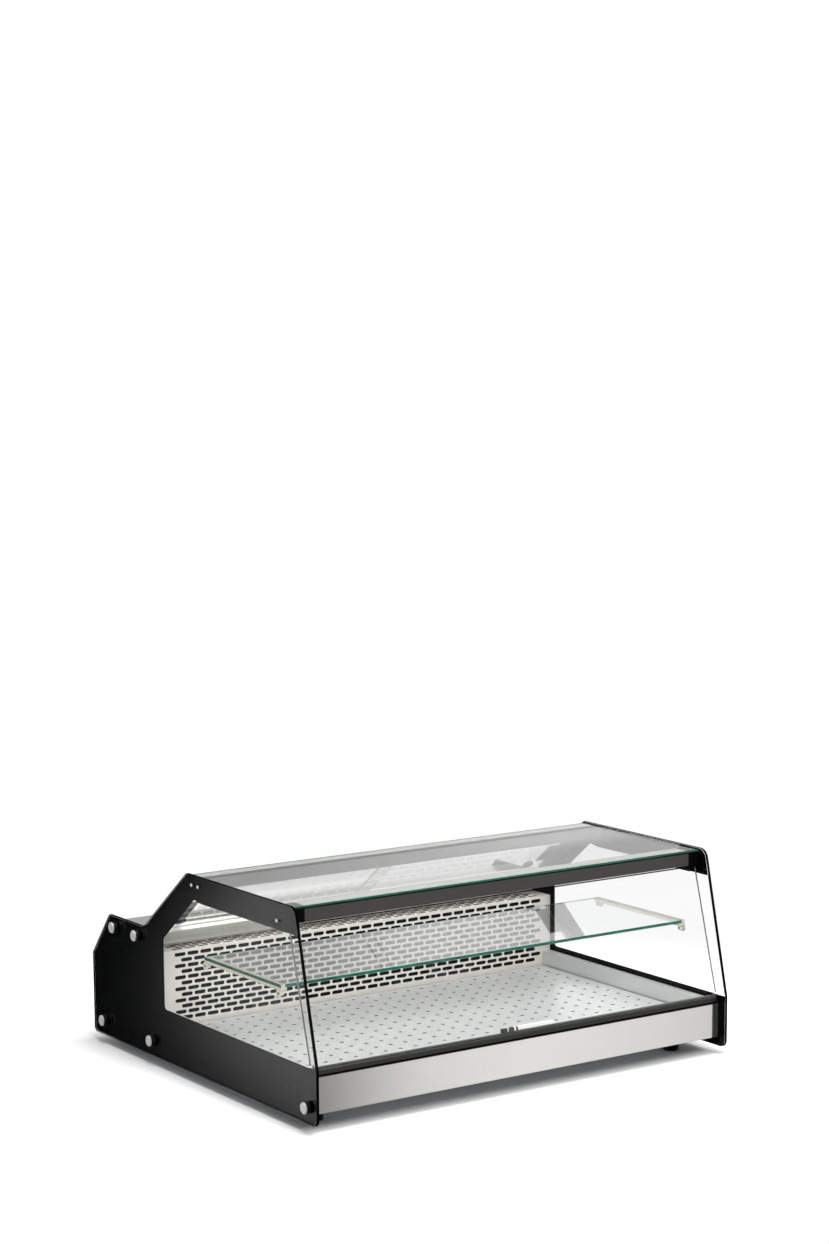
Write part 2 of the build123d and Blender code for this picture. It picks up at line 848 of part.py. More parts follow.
with BuildPart() as door_track:
    block(
        (slide_clearance - foam_half, foam_half - slide_clearance),
        (evaporator_back - track_foot_front, track_foot_end),
        (partition_height, partition_height + track_foot_height),
    )
    slope_bar((lower_start, lower_end), track_in, full_width)
    door_grooves((lower_start - 3 * track_wall, lower_start + track_groove))
save(door_track.part, "door_track")

with BuildPart() as door_jambs:
    for x_range in both_sides(inner_half - jamb_width, inner_half):
        slope_bar((upper_end, lower_start), track_in, x_range)
save(door_jambs.part, "door_jambs")

# Sliding doors and their finger grips
door_half = inner_half - jamb_width - 0.5
door_down = (track_inset + track_wall + 1, lower_start + track_groove - door_foot_clearance)
left_door_range = (-door_half, door_overlap / 2)
right_door_range = (-door_overlap / 2, door_half)
doors = [
    ("left_door", left_door_range, inner_door_in, grip_from_edge - door_half),
    ("right_door", right_door_range, outer_door_in, door_half - grip_from_edge),
]

for name, x_range, door_in, grip_x in doors:
    with BuildPart() as door:
        slope_bar(door_down, (door_in, door_in + door_glass), x_range)
    save(door.part, name)
    with BuildPart() as grip:
        with BuildSketch(door_face.offset(-door_in)):
            with Locations((grip_x, grip_down)):
                Circle(grip_radius)
        extrude(amount=grip_height)
        with BuildSketch(door_face.offset(grip_height - grip_dish - door_in)):
            with Locations((grip_x, grip_down)):
                Circle(grip_dish_radius)
        extrude(amount=grip_dish, mode=Mode.SUBTRACT)
        outer_edges = grip.edges().filter_by(GeomType.CIRCLE).group_by(SortBy.RADIUS)[-1]
        fillet(outer_edges.sort_by(Axis.Z)[-1], radius=1)
    save(grip.part, name + "_grip")

# Shelf on four pins
shelf_half = inner_half - 2.5
shelf_back = shelf_front + shelf_depth
pin_height = shelf_height - shelf_rail_height - slide_clearance - shelf_pin_radius
pin_places = [(shelf_front + shelf_pin_inset, pin_height), (shelf_back - shelf_pin_inset, pin_height)]

with BuildPart() as shelf_glass:
    block(
        (-shelf_half, shelf_half),
        (shelf_front, shelf_back),
        (shelf_height, shelf_height + shelf_glass_thickness),
    )
    chamfer(shelf_glass.edges().filter_by(Axis.X), length=0.5)
save(shelf_glass.part, "shelf_glass")

with BuildPart() as shelf_rails:
    for x_range in both_sides(shelf_half - shelf_rail_width, shelf_half):
        block(x_range, (shelf_front, shelf_back), (shelf_height - shelf_rail_height, shelf_height))
    for x_range in both_sides(shelf_half - shelf_lip_width, shelf_half):
        block(
            x_range,
            (shelf_front - shelf_lip, shelf_front),
            (shelf_height - shelf_rail_height, shelf_height + shelf_glass_thickness),
        )
save(shelf_rails.part, "shelf_rails")

with BuildPart() as shelf_pins:
    for x_range in both_sides(inner_half - shelf_pin_length, inner_half):
        rods(pin_places, shelf_pin_radius, x_range)
    rims = shelf_pins.edges().filter_by(GeomType.CIRCLE)
    fillet(rims.filter_by(lambda rim: abs(rim.center().X) < inner_half - 1), radius=shelf_pin_dome)
    for x_range in both_sides(inner_half - 2, inner_half):
        rods(pin_places, shelf_pin_flange, x_range)
save(shelf_pins.part, "shelf_pins")

# Evaporator cover with a brick pattern of slots
cover_foot = floor_top + slide_clearance
slot_top = cover_height - slot_top_margin

with BuildPart() as evaporator_cover:
    block(
        (slide_clearance - well_half, well_half - slide_clearance),
        (cover_front, cover_front + sheet),
        (cover_foot, cover_height),
    )
    block(
        (sheet - foam_half, foam_half - sheet),
        (cover_front, cover_front + sheet),
        (rim_top + slide_clearance, cover_height),
    )
    block(
        (sheet - foam_half, foam_half - sheet),
        (cover_front, evaporator_back - sheet),
        (cover_height - sheet, cover_height),
    )
    with BuildSketch(across(0, cover_front + sheet, 0, -1)):
        for row in range(slot_rows):
            with Locations((0, slot_top - row * slot_row_pitch)):
                with GridLocations(slot_pitch, 1, slot_columns - row % 2, 1):
                    SlotOverall(slot_length, slot_width)
    extrude(amount=sheet, mode=Mode.SUBTRACT)
    with BuildSketch(plan.offset(cover_height - sheet)):
        for row in range(flange_slot_rows):
            with Locations((0, cover_front + slot_row_pitch * (row + 1))):
                with GridLocations(slot_pitch, 1, slot_columns - row % 2, 1):
                    SlotOverall(slot_length, slot_width)
    extrude(amount=sheet, mode=Mode.SUBTRACT)
save(evaporator_cover.part, "evaporator_cover")

# Evaporator coil and fans behind the cover
coil_back = evaporator_back - sheet - 3
coil_front = coil_back - coil_depth
coil_middle = (coil_front + coil_back) / 2
coil_tube_places = [(coil_middle, liquid_height + step * coil_tube_pitch) for step in range(coil_tubes)]
coil_top = coil_tube_places[-1][1] + 12
coil_base = floor_top + 8

with BuildPart() as evaporator_coil:
    fin_count = int((2 * coil_half_length - fin_pitch) // fin_pitch)
    for step in range(fin_count):
        fin_x = (step - (fin_count - 1) / 2) * fin_pitch
        block((fin_x - fin / 2, fin_x + fin / 2), (coil_front, coil_back), (coil_base, coil_top))
    for x_range in both_sides(coil_half_length - coil_plate, coil_half_length):
        block(x_range, (coil_front, coil_back), (floor_top, coil_top))
    coil_tube_half = coil_half_length + coil_tube_stub
    rods(coil_tube_places, coil_tube_radius, (-coil_tube_half, coil_tube_half))
save(evaporator_coil.part, "evaporator_coil")

fan_front = cover_front + sheet
fan_places = [("left_evaporator_fan", -fan_spacing / 2), ("right_evaporator_fan", fan_spacing / 2)]

with BuildPart() as evaporator_fan_frames:
    for name, fan_x in fan_places:
        frame_back = across(fan_x, fan_front + fan_depth, fan_height, -1)
        fan_frame(frame_back, fan_square, fan_square, fan_ring_radius, fan_depth, fan_post_radius)
save(evaporator_fan_frames.part, "evaporator_fan_frames")

for name, fan_x in fan_places:
    with BuildPart() as evaporator_fan:
        rotor_back = across(fan_x, fan_front + fan_depth * 0.84, fan_height, -1)
        fan_rotor(
            rotor_back,
            fan_ring_radius - fan_tip_clearance,
            fan_hub_radius,
            fan_depth * 0.64,
            fan_post_radius + pivot_clearance,
            7,
        )
    save(evaporator_fan.part, name)

# Machine space: plate, compressor on rubber mounts, condenser with its fan, pipes
machine_middle = (machine_front + rear_inside) / 2
unit_top = base_top + plate_thickness
mount_top = unit_top + mount_height
compressor_base = mount_top + 3
condenser_right = condenser_left + condenser_width
condenser_back = rear_inside - condenser_gap
condenser_front = condenser_back - condenser_depth
condenser_middle = (condenser_front + condenser_back) / 2
condenser_top = unit_top + condenser_height
condenser_tube_places = [
    (condenser_middle, unit_top + 22 + step * condenser_tube_pitch) for step in range(condenser_tubes)
]
discharge_height = condenser_tube_places[-1][1]

with BuildPart() as unit_plate:
    block(
        (compressor_x - compressor_plate / 2 - 20, condenser_right + 10),
        (machine_front + 8, rear_inside - 6),
        (base_top, unit_top),
    )
save(unit_plate.part, "unit_plate")

with BuildPart() as compressor_mounts:
    with BuildSketch(plan.offset(unit_top)):
        with Locations((compressor_x, machine_middle)):
            with GridLocations(compressor_plate - 30, compressor_plate - 30, 2, 2):
                Circle(mount_radius)
    extrude(amount=mount_height)
save(compressor_mounts.part, "compressor_mounts")

with BuildPart() as compressor:
    with BuildSketch(plan.offset(compressor_base)):
        with Locations((compressor_x, machine_middle)):
            Circle(compressor_radius)
    extrude(amount=compressor_height)
    fillet(compressor.edges().group_by(Axis.Z)[-1], radius=compressor_radius / 2)
    fillet(compressor.edges().group_by(Axis.Z)[0], radius=compressor_radius / 5)
    with BuildSketch(plan.offset(mount_top)):
        with Locations((compressor_x, machine_middle)):
            RectangleRounded(compressor_plate, compressor_plate, mount_radius)
    extrude(amount=compressor_base - mount_top)
    block(
        (compressor_x - 20, compressor_x + 20),
        (machine_middle, machine_middle + compressor_radius + 14),
        (compressor_base + 40, compressor_base + 90),
    )
    stub_reach = compressor_radius + 13
    rods([(machine_middle, discharge_height)], pipe_radius + 1, (compressor_x, compressor_x + stub_reach))
    rods([(machine_middle, suction_height)], pipe_radius + 1, (compressor_x - stub_reach, compressor_x))
save(compressor.part, "compressor")

with BuildPart() as condenser_coil:
    condenser_fins = int((condenser_width - condenser_fin_pitch) // condenser_fin_pitch)
    first_fin = condenser_left + condenser_width / 2 - (condenser_fins - 1) / 2 * condenser_fin_pitch
    for step in range(condenser_fins):
        fin_x = first_fin + step * condenser_fin_pitch
        block(
            (fin_x - fin / 2, fin_x + fin / 2),
            (condenser_front, condenser_back),
            (unit_top + 6, condenser_top),
        )
    for x_start in (condenser_left, condenser_right - coil_plate):
        block((x_start, x_start + coil_plate), (condenser_front, condenser_back), (unit_top, condenser_top))
    tube_range = (condenser_left - coil_tube_stub, condenser_right + coil_tube_stub)
    rods(condenser_tube_places, coil_tube_radius, tube_range)
save(condenser_coil.part, "condenser_coil")

condenser_fan_x = condenser_left + condenser_width / 2
condenser_fan_z = unit_top + condenser_height / 2
motor_face = across(condenser_fan_x, condenser_front - condenser_fan_depth, condenser_fan_z, 1)

with BuildPart() as condenser_fan_frame:
    fan_frame(
        motor_face,
        condenser_width,
        condenser_height,
        condenser_ring_radius,
        condenser_fan_depth,
        fan_post_radius,
    )
    with BuildSketch(motor_face):
        Circle(motor_radius)
    extrude(amount=-motor_length)
save(condenser_fan_frame.part, "condenser_fan_frame")

with BuildPart() as condenser_fan:
    fan_rotor(
        motor_face.offset(condenser_fan_depth * 0.16),
        condenser_ring_radius - fan_tip_clearance,
        condenser_hub_radius,
        condenser_fan_depth * 0.64,
        fan_post_radius + pivot_clearance,
        5,
    )
save(condenser_fan.part, "condenser_fan")

with BuildPart() as refrigerant_pipes:
    discharge_x = condenser_left - coil_tube_stub
    discharge_bend = discharge_x - 34
    pipe(
        (compressor_x + stub_reach, machine_middle, discharge_height),
        (discharge_bend, machine_middle, discharge_height),
        (discharge_bend, condenser_middle, discharge_height),
        (discharge_x, condenser_middle, discharge_height),
    )
    pipe(
        (-coil_tube_half, coil_middle, suction_height),
        (-pipe_pass_x, coil_middle, suction_height),
        (-pipe_pass_x, machine_middle, suction_height),
        (compressor_x - stub_reach, machine_middle, suction_height),
    )
    liquid_x = condenser_right + coil_tube_stub
    liquid_bend = liquid_x + 44
    liquid_y = machine_front + 39
    condenser_low = condenser_tube_places[0][1]
    pipe(
        (liquid_x, condenser_middle, condenser_low),
        (liquid_bend, condenser_middle, condenser_low),
        (liquid_bend, liquid_y, condenser_low),
        (liquid_bend, liquid_y, liquid_height),
        (pipe_pass_x, liquid_y, liquid_height),
        (pipe_pass_x, coil_middle, liquid_height),
        (coil_tube_half, coil_middle, liquid_height),
    )
save(refrigerant_pipes.part, "refrigerant_pipes")

# Rear deck, sloping control panel and rear grille
with BuildPart() as rear_deck:
    block(
        (-carcass_half, carcass_half),
        (track_foot_end + slide_clearance, deck_rear - control_step_y),
        (deck_height - sheet, deck_height),
    )
save(rear_deck.part, "rear_deck")

control_corners = [
    (deck_rear, deck_height),
    (rear_face, rear_wall_top),
    (rear_face, rear_wall_top - control_step_z),
    (deck_rear - control_step_y, deck_height),
]
control_middle = control_length / 2
controller_body = (controller_width - 8, controller_height - 8)
switch_body = (switch_width - 3, switch_height - 5)


def widened(size, extra):
    """Return a width and height grown by a clearance on every side."""
    return (size[0] + 2 * extra, size[1] + 2 * extra)


with BuildPart() as control_panel:
    bar(control_corners, (-carcass_half, carcass_half))
    for centre, size in (
        ((controller_x, control_middle), controller_body),
        ((switch_x, control_middle), switch_body),
    ):
        control_block(centre, widened(size, cutout_clearance), (-3 * sheet, sheet), mode=Mode.SUBTRACT)
save(control_panel.part, "control_panel")

grille_top = rear_wall_top - control_step_z
gland_place = (gland_x, gland_height)

with BuildPart() as rear_grille:
    block((-carcass_half, carcass_half), (rear_inside, rear_face), (base_lift, grille_top))
    with BuildSketch(across(0, rear_face, 0, -1)):
        with Locations((0, (base_lift + grille_top) / 2)):
            with GridLocations(louvre_pitch, louvre_row_pitch, 10, 9):
                SlotOverall(louvre_length, louvre_height)
        with Locations(gland_place):
            Circle(gland_radius + slide_clearance)
    extrude(amount=sheet, mode=Mode.SUBTRACT)
save(rear_grille.part, "rear_grille")

with BuildPart() as supply_gland:
    with BuildSketch(across(gland_x, rear_inside - 6, gland_height, 1)):
        RegularPolygon(gland_radius + 5, 6)
    extrude(amount=6)
    with BuildSketch(across(gland_x, rear_inside - 6, gland_height, 1)):
        Circle(gland_radius)
    extrude(amount=6 + sheet)
    with BuildSketch(across(gland_x, rear_face, gland_height, 1)):
        RegularPolygon(gland_radius + 5, 6)
    extrude(amount=5)
    with BuildSketch(across(gland_x, rear_face + 5, gland_height, 1)):
        Circle(gland_radius)
    extrude(amount=6)
    fillet(supply_gland.edges().group_by(Axis.Y)[-1], radius=3)
    with BuildSketch(across(gland_x, rear_inside - 6, gland_height, 1)):
        Circle(gland_bore)
    extrude(amount=6 + sheet + 11, mode=Mode.SUBTRACT)
save(supply_gland.part, "supply_gland")

# Controller with three keys
key_centres = [
    ("set_key", (controller_x + 6, control_middle)),
    ("up_key", (controller_x + 6 + key_pitch, control_middle)),
    ("down_key", (controller_x + 6 + 2 * key_pitch, control_middle)),
]

with BuildPart() as controller:
    controller_bezel = (controller_width, controller_height)
    control_block((controller_x, control_middle), controller_bezel, (0, controller_front))
    outward = Axis(control_face.origin, control_face.z_dir)
    fillet(controller.faces().sort_by(outward)[-1].edges(), radius=1.5)
    control_block((controller_x, control_middle), controller_body, (-controller_body_depth, 0))
    for name, centre in key_centres:
        pocket = (key_size + 2 * key_clearance, key_size + 2 * key_clearance)
        control_block(centre, pocket, (controller_front - key_pocket, controller_front), mode=Mode.SUBTRACT)
save(controller.part, "controller")

for name, centre in key_centres:
    with BuildPart() as key:
        key_top = controller_front + key_proud
        control_block(centre, (key_size, key_size), (key_top - key_thickness, key_top))
    save(key.part, name)

# Power switch with a rocker, drawn tilted to its off position
rocker_pivot_depth = 3.0
opening = (rocker_width + 1, 2 * rocker_half_height + 1.8)

with BuildPart() as switch_frame:
    control_block((switch_x, control_middle), (switch_width, switch_height), (0, switch_front))
    control_block((switch_x, control_middle), switch_body, (-switch_body_depth, 0))
    opening_range = (6 - switch_body_depth, switch_front)
    control_block((switch_x, control_middle), opening, opening_range, mode=Mode.SUBTRACT)
save(switch_frame.part, "switch_frame")

with BuildPart() as switch_rocker:
    rocker_start = switch_x - rocker_width / 2
    with BuildSketch(control_section.offset(rocker_start)):
        with Locations(Location((control_middle, -rocker_pivot_depth), -rocker_tilt)):
            Polygon(
                (-rocker_half_height, 4),
                (-rocker_half_height, -2),
                (0, -4),
                (rocker_half_height, -2),
                (rocker_half_height, 4),
                (0, 6.2),
                align=None,
            )
    extrude(amount=rocker_width)
save(switch_rocker.part, "switch_rocker")

# Feet under the base
with BuildPart() as feet:
    with BuildSketch(plan.offset(-foot_drop)):
        with Locations((0, depth / 2)):
            with GridLocations(panel_span - 2 * foot_inset, depth - 2 * foot_from_edge, 2, 2):
                Circle(foot_radius)
    extrude(amount=foot_drop + base_lift)
    chamfer(feet.edges().group_by(Axis.Z)[0], length=foot_chamfer)
save(feet.part, "feet")
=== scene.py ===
"""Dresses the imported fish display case: finishes, the pieces too fine for CAD, and the stage."""

from math import cos, pi, radians, sin, tan

import bmesh
import bpy
from mathutils import Matrix, Vector


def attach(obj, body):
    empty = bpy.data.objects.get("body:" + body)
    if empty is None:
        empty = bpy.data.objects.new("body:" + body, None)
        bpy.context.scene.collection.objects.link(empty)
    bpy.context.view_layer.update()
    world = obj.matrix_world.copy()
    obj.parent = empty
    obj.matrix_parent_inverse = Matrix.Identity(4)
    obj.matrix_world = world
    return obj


bl_info = {
    "name": "Fish display case",
    "version": (1, 0, 0),
    "blender": (4, 5, 0),
    "location": "View3D > Sidebar > Display case",
    "description": "Finishes, fine pieces and a studio stage for a refrigerated fish display case",
    "category": "Object",
}

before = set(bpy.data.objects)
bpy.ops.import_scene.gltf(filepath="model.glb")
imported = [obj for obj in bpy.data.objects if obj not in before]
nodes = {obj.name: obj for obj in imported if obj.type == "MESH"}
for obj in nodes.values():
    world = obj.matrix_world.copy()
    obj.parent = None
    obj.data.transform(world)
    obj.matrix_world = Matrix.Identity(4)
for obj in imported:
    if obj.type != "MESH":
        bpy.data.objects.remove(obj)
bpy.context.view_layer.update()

# Lengths are in mm until they become points in metres; the settings are in metres too
MM = 0.001
DEPTH = 880.0  # of the end panels
FOOT_DROP = 18.0  # the feet reach this far below the end panels
PROUD = 0.02  # a piece lies this far off the sheet that carries it, so that no faces coincide
REAR_FACE = 867.0 + PROUD  # outer face of the rear grille
DECK_TOP = 252.0 + PROUD
# Start of each rear slope, as distance from the front and height, and its run and drop per mm
DOOR_SLOPE = (475, 405, 0.791, 0.612)
CONTROL_SLOPE = (797, 252, 0.6313, 0.7756)
# Corners of the end panels: distance from the front, height, radius, and the way in along both
PANEL = [
    (0, 0, 14, 1, 1),
    (70, 405, 23, 1, -1),
    (475, 405, 4, 0, -1),
    (656, 265, 40, 0, -1),
    (803, 265, 4, 0, -1),
    (880, 171, 4, -1, 0),
    (880, 0, 12, -1, 1),
]
FRONT_LEAN = 70.0 / (405.0 - 108.0)  # of the panels' front edge, above the window's foot
PRINT_INSET = 0.4  # the ink stays this far inside the panels' edges
MERGE = 1e-6  # corners this close together, in metres, are one


def linear(code):
    """Return an sRGB hex colour as linear red, green and blue."""
    parts = [int(code[i : i + 2], 16) / 255 for i in (0, 2, 4)]
    return tuple(p / 12.92 if p <= 0.04045 else ((p + 0.055) / 1.055) ** 2.4 for p in parts)


def at(x, y, z):
    """Return a point in metres: x from the middle, y from the front, z from the panels' foot."""
    return Vector((x, y - DEPTH / 2, z + FOOT_DROP)) * MM


def on_slope(slope, x, down, out):
    """Return a point on a rear slope: along the width, down the slope and out of it."""
    y, z, run, drop = slope
    return at(x, y + down * run + out * drop, z - down * drop + out * run)


class CaseSizes(bpy.types.PropertyGroup):
    """Sizes of the pieces that the scene adds."""

    print_depth: bpy.props.FloatProperty(
        name="Print thickness",
        description="Thickness of the print in the end panels and its primer together",
        default=0.0002,
        unit="LENGTH",
    )
    window_foot: bpy.props.FloatProperty(
        name="Window foot",
        description="Height of the clear window's lower edge",
        default=0.108,
        unit="LENGTH",
    )
    window_head: bpy.props.FloatProperty(
        name="Window head",
        description="Height of the clear window's upper edge",
        default=0.352,
        unit="LENGTH",
    )
    window_back: bpy.props.FloatProperty(
        name="Window back",
        description="Distance of the window's upright back edge from the front",
        default=0.578,
        unit="LENGTH",
    )
    screw_head: bpy.props.FloatProperty(
        name="Screw head", description="Radius of the screw heads", default=0.0032, unit="LENGTH"
    )
    edge_skin: bpy.props.FloatProperty(
        name="Edge skin",
        description="Thickness of the ground skin on the glass edges",
        default=0.0001,
        unit="LENGTH",
    )
    pull_thickness: bpy.props.FloatProperty(
        name="Pull plate",
        description="Thickness of the pull plates on the doors",
        default=0.0007,
        unit="LENGTH",
    )
    hood_depth: bpy.props.FloatProperty(
        name="Louvre hood",
        description="How far the louvre hoods stand out of the rear grille",
        default=0.003,
        unit="LENGTH",
    )
    # Width of the painted highlight strip that stands for a bevel along the panels' outer edges
    arris: bpy.props.FloatProperty(
        name="Arris",
        description="Width of the bevel ground along the outer edges of the end panels",
        default=0.0016,
        unit="LENGTH",
    )


class CaseColours(bpy.types.PropertyGroup):
    """Colours of the main finishes."""

    enamel: bpy.props.FloatVectorProperty(
        name="Enamel",
        description="Black print on the end panels",
        subtype="COLOR",
        default=linear("060708"),
    )
    steel: bpy.props.FloatVectorProperty(
        name="Stainless",
        description="Brushed stainless sheet",
        subtype="COLOR",
        default=linear("e0dfdb"),
    )
    beam: bpy.props.FloatVectorProperty(
        name="Beams",
        description="Dark coated aluminium of the beams",
        subtype="COLOR",
        default=linear("3f3d3c"),
    )
    rail: bpy.props.FloatVectorProperty(
        name="Rail",
        description="Dark coated aluminium of the front rail",
        subtype="COLOR",
        default=linear("2b2a28"),
    )
    plastic: bpy.props.FloatVectorProperty(
        name="Black plastic",
        description="Moulded black plastic",
        subtype="COLOR",
        default=linear("141414"),
    )
    glass_edge: bpy.props.FloatVectorProperty(
        name="Glass edge",
        description="Green of the polished glass edges",
        subtype="COLOR",
        default=linear("1f6e5b"),
    )


# Nodes and materials


def add(tree, kind, inputs=None, **settings):
    """Add a node, give it its settings, and set or link its inputs."""
    node = tree.nodes.new(kind)
    for key, value in settings.items():
        setattr(node, key, value)
    for key, value in (inputs or {}).items():
        if isinstance(value, bpy.types.NodeSocket):
            tree.links.new(value, node.inputs[key])
        else:
            node.inputs[key].default_value = value
    return node


def start_finish(name, colour, metallic, roughness, **sockets):
    """Start a material: return it with its tree, its surface shader and its object coordinates."""
    finish = bpy.data.materials.new(name)
    finish.use_nodes = True
    tree = finish.node_tree
    tree.nodes.clear()
    shader = add(
        tree,
        "ShaderNodeBsdfPrincipled",
        {"Base Color": (*colour, 1.0), "Metallic": metallic, "Roughness": roughness},
    )
    for key, value in sockets.items():
        shader.inputs[key.replace("_", " ")].default_value = value
    add(tree, "ShaderNodeOutputMaterial", {"Surface": shader.outputs[0]})
    coords = add(tree, "ShaderNodeTexCoord").outputs["Object"]
    return finish, tree, shader, coords


def brushed_stainless(name, colour, low, high, metallic=1.0):
    """Fine-ground sheet: short streaks along its length in a soft wide shine."""
    finish, tree, shader, coords = start_finish(name, colour, metallic, (low + high) / 2)
    # Marks per metre along each axis: grit marks run along X, 8 mm long and about 1 mm apart,
    # coarser than a real polish so that they show
    marks = (120.0, 900.0, 900.0)
    lines = add(tree, "ShaderNodeMapping", {"Vector": coords, "Scale": marks})
    grain = add(
        tree, "ShaderNodeTexNoise", {"Vector": lines.outputs[0], "Scale": 1.0, "Detail": 3.0}
    )
    spread = {"From Min": 0.3, "From Max": 0.7, "To Min": low, "To Max": high}
    shine = add(tree, "ShaderNodeMapRange", {"Value": grain.outputs[0], **spread})
    tree.links.new(shine.outputs[0], shader.inputs["Roughness"])
    # Handling leaves broad clouds about 125 mm across
    cloud = add(
        tree, "ShaderNodeTexNoise", {"Vector": coords, "Scale": 1.0 / (125 * MM), "Detail": 2.0}
    )
    tone = add(
        tree,
        "ShaderNodeMix",
        {0: cloud.outputs[0], 6: (*[c * 0.93 for c in colour], 1.0), 7: (*colour, 1.0)},
        data_type="RGBA",
    )
    tree.links.new(tone.outputs[2], shader.inputs["Base Color"])
    relief = {"Height": grain.outputs[0], "Strength": 0.04, "Distance": 0.2 * MM}
    bump = add(tree, "ShaderNodeBump", relief)
    tree.links.new(bump.outputs[0], shader.inputs["Normal"])
    return finish


def plate_glass(name, tint, density, ior=1.5):
    """Float glass: clear through the plate, green where light runs along it to an edge."""
    finish, tree, shader, coords = start_finish(
        name, (1.0, 1.0, 1.0), 0.0, 0.0, Transmission_Weight=1.0, IOR=ior
    )
    # Faint smears about 40 mm across dull the polish
    smear = add(
        tree, "ShaderNodeTexNoise", {"Vector": coords, "Scale": 1.0 / (40 * MM), "Detail": 4.0}
    )
    spread = {"From Min": 0.45, "From Max": 0.75, "To Min": 0.0, "To Max": 0.012}
    dull = add(tree, "ShaderNodeMapRange", {"Value": smear.outputs[0], **spread})
    tree.links.new(dull.outputs[0], shader.inputs["Roughness"])
    # Lamps shine through with a slight loss
    lamps = add(tree, "ShaderNodeLightPath").outputs["Is Shadow Ray"]
    clear = add(tree, "ShaderNodeBsdfTransparent", {"Color": (0.97, 0.985, 0.98, 1.0)})
    mixed = add(
        tree, "ShaderNodeMixShader", {0: lamps, 1: shader.outputs[0], 2: clear.outputs[0]}
    )
    body = add(tree, "ShaderNodeVolumeAbsorption", {"Color": (*tint, 1.0), "Density": density})
    output = next(n for n in tree.nodes if n.type == "OUTPUT_MATERIAL")
    tree.links.new(mixed.outputs[0], output.inputs["Surface"])
    tree.links.new(body.outputs[0], output.inputs["Volume"])
    return finish


def grained(name, colour, roughness, grain_mm, depth_mm, metallic=0.0, **sockets):
    """A surface with an even fine grain, such as moulded plastic, rubber or powder coat."""
    finish, tree, shader, coords = start_finish(name, colour, metallic, roughness, **sockets)
    grain = add(
        tree,
        "ShaderNodeTexNoise",
        {"Vector": coords, "Scale": 1.0 / (grain_mm * MM), "Detail": 2.0},
    )
    change = 0.06
    spread = {"To Min": roughness - change, "To Max": roughness + change}
    shine = add(
        tree,
        "ShaderNodeMapRange",
        {"Value": grain.outputs[0], "From Min": 0.3, "From Max": 0.7, **spread},
    )
    tree.links.new(shine.outputs[0], shader.inputs["Roughness"])
    relief = {"Height": grain.outputs[0], "Strength": 0.25, "Distance": depth_mm * MM}
    bump = add(tree, "ShaderNodeBump", relief)
    tree.links.new(bump.outputs[0], shader.inputs["Normal"])
    return finish


def fused_enamel(name, colour, roughness, gloss):
    """Ceramic ink fused into the glass: deep even black, with a sheen where it is smooth."""
    finish, tree, shader, coords = start_finish(
        name, colour, 0.0, roughness, Specular_IOR_Level=gloss
    )
    # The screen leaves the ink a little thinner in patches about 40 mm across
    patch = add(
        tree, "ShaderNodeTexNoise", {"Vector": coords, "Scale": 1.0 / (40 * MM), "Detail": 1.0}
    )
    tone = add(
        tree,
        "ShaderNodeMix",
        {0: patch.outputs[0], 6: (*[c * 0.85 for c in colour], 1.0), 7: (*colour, 1.0)},
        data_type="RGBA",
    )
    tree.links.new(tone.outputs[2], shader.inputs["Base Color"])
    return finish


def ground_edge(name, colour, depth):
    """Edge of plate glass: painted glints, longer and shorter, stand for the light caught in the
    plate that comes out at its edge.
    """
    finish, tree, shader, coords = start_finish(name, colour, 0.0, 0.22)
    # Painted glints per metre along each axis: some 60 mm long and 2 mm high
    glints = (16.0, 16.0, 450.0)
    lines = add(tree, "ShaderNodeMapping", {"Vector": coords, "Scale": glints})
    glint = add(
        tree, "ShaderNodeTexNoise", {"Vector": lines.outputs[0], "Scale": 1.0, "Detail": 3.0}
    )
    reach = add(
        tree, "ShaderNodeMapRange", {"Value": glint.outputs[0], "From Min": 0.35, "From Max": 0.65}
    )
    tone = add(
        tree,
        "ShaderNodeMix",
        {0: reach.outputs[0], 6: (*[c * depth for c in colour], 1.0), 7: (*colour, 1.0)},
        data_type="RGBA",
    )
    tree.links.new(tone.outputs[2], shader.inputs["Base Color"])
    return finish


def galvanised_steel():
    """Hot-dip galvanised sheet: zinc spangles about 12 mm across, each lighter or darker."""
    finish, tree, shader, coords = start_finish("galvanised_steel", linear("aeb2b5"), 1.0, 0.42)
    spangle = add(tree, "ShaderNodeTexVoronoi", {"Vector": coords, "Scale": 1.0 / (12 * MM)})
    pale, dark = (*linear("b9bdc0"), 1.0), (*linear("8f9497"), 1.0)
    tone = add(
        tree,
        "ShaderNodeMix",
        {0: spangle.outputs["Distance"], 6: pale, 7: dark},
        data_type="RGBA",
    )
    tree.links.new(tone.outputs[2], shader.inputs["Base Color"])
    return finish


def woven_gauze():
    """Black gauze, a weave of 1.5 mm squares: painted shade, a dark sheet that swallows the light
    behind the slots.
    """
    finish, tree, shader, coords = start_finish(
        "black_filter_gauze", linear("101011"), 0.0, 0.8, Specular_IOR_Level=0.1
    )
    threads = {"Color1": (*linear("1a1a1b"), 1.0), "Color2": (*linear("080808"), 1.0)}
    weave = add(
        tree, "ShaderNodeTexChecker", {"Vector": coords, "Scale": 1.0 / (1.5 * MM), **threads}
    )
    tree.links.new(weave.outputs["Color"], shader.inputs["Base Color"])
    return finish


def turned_steel():
    """Turned stainless: pale and bright, its shine broken up by tool marks 1.2 mm across."""
    finish, tree, shader, coords = start_finish("turned_steel", linear("f2f2f0"), 0.6, 0.25)
    grain = add(
        tree, "ShaderNodeTexNoise", {"Vector": coords, "Scale": 1.0 / (1.2 * MM), "Detail": 2.0}
    )
    spread = {"From Min": 0.3, "From Max": 0.7, "To Min": 0.2, "To Max": 0.38}
    shine = add(tree, "ShaderNodeMapRange", {"Value": grain.outputs[0], **spread})
    tree.links.new(shine.outputs[0], shader.inputs["Roughness"])
    return finish


finishes = {}


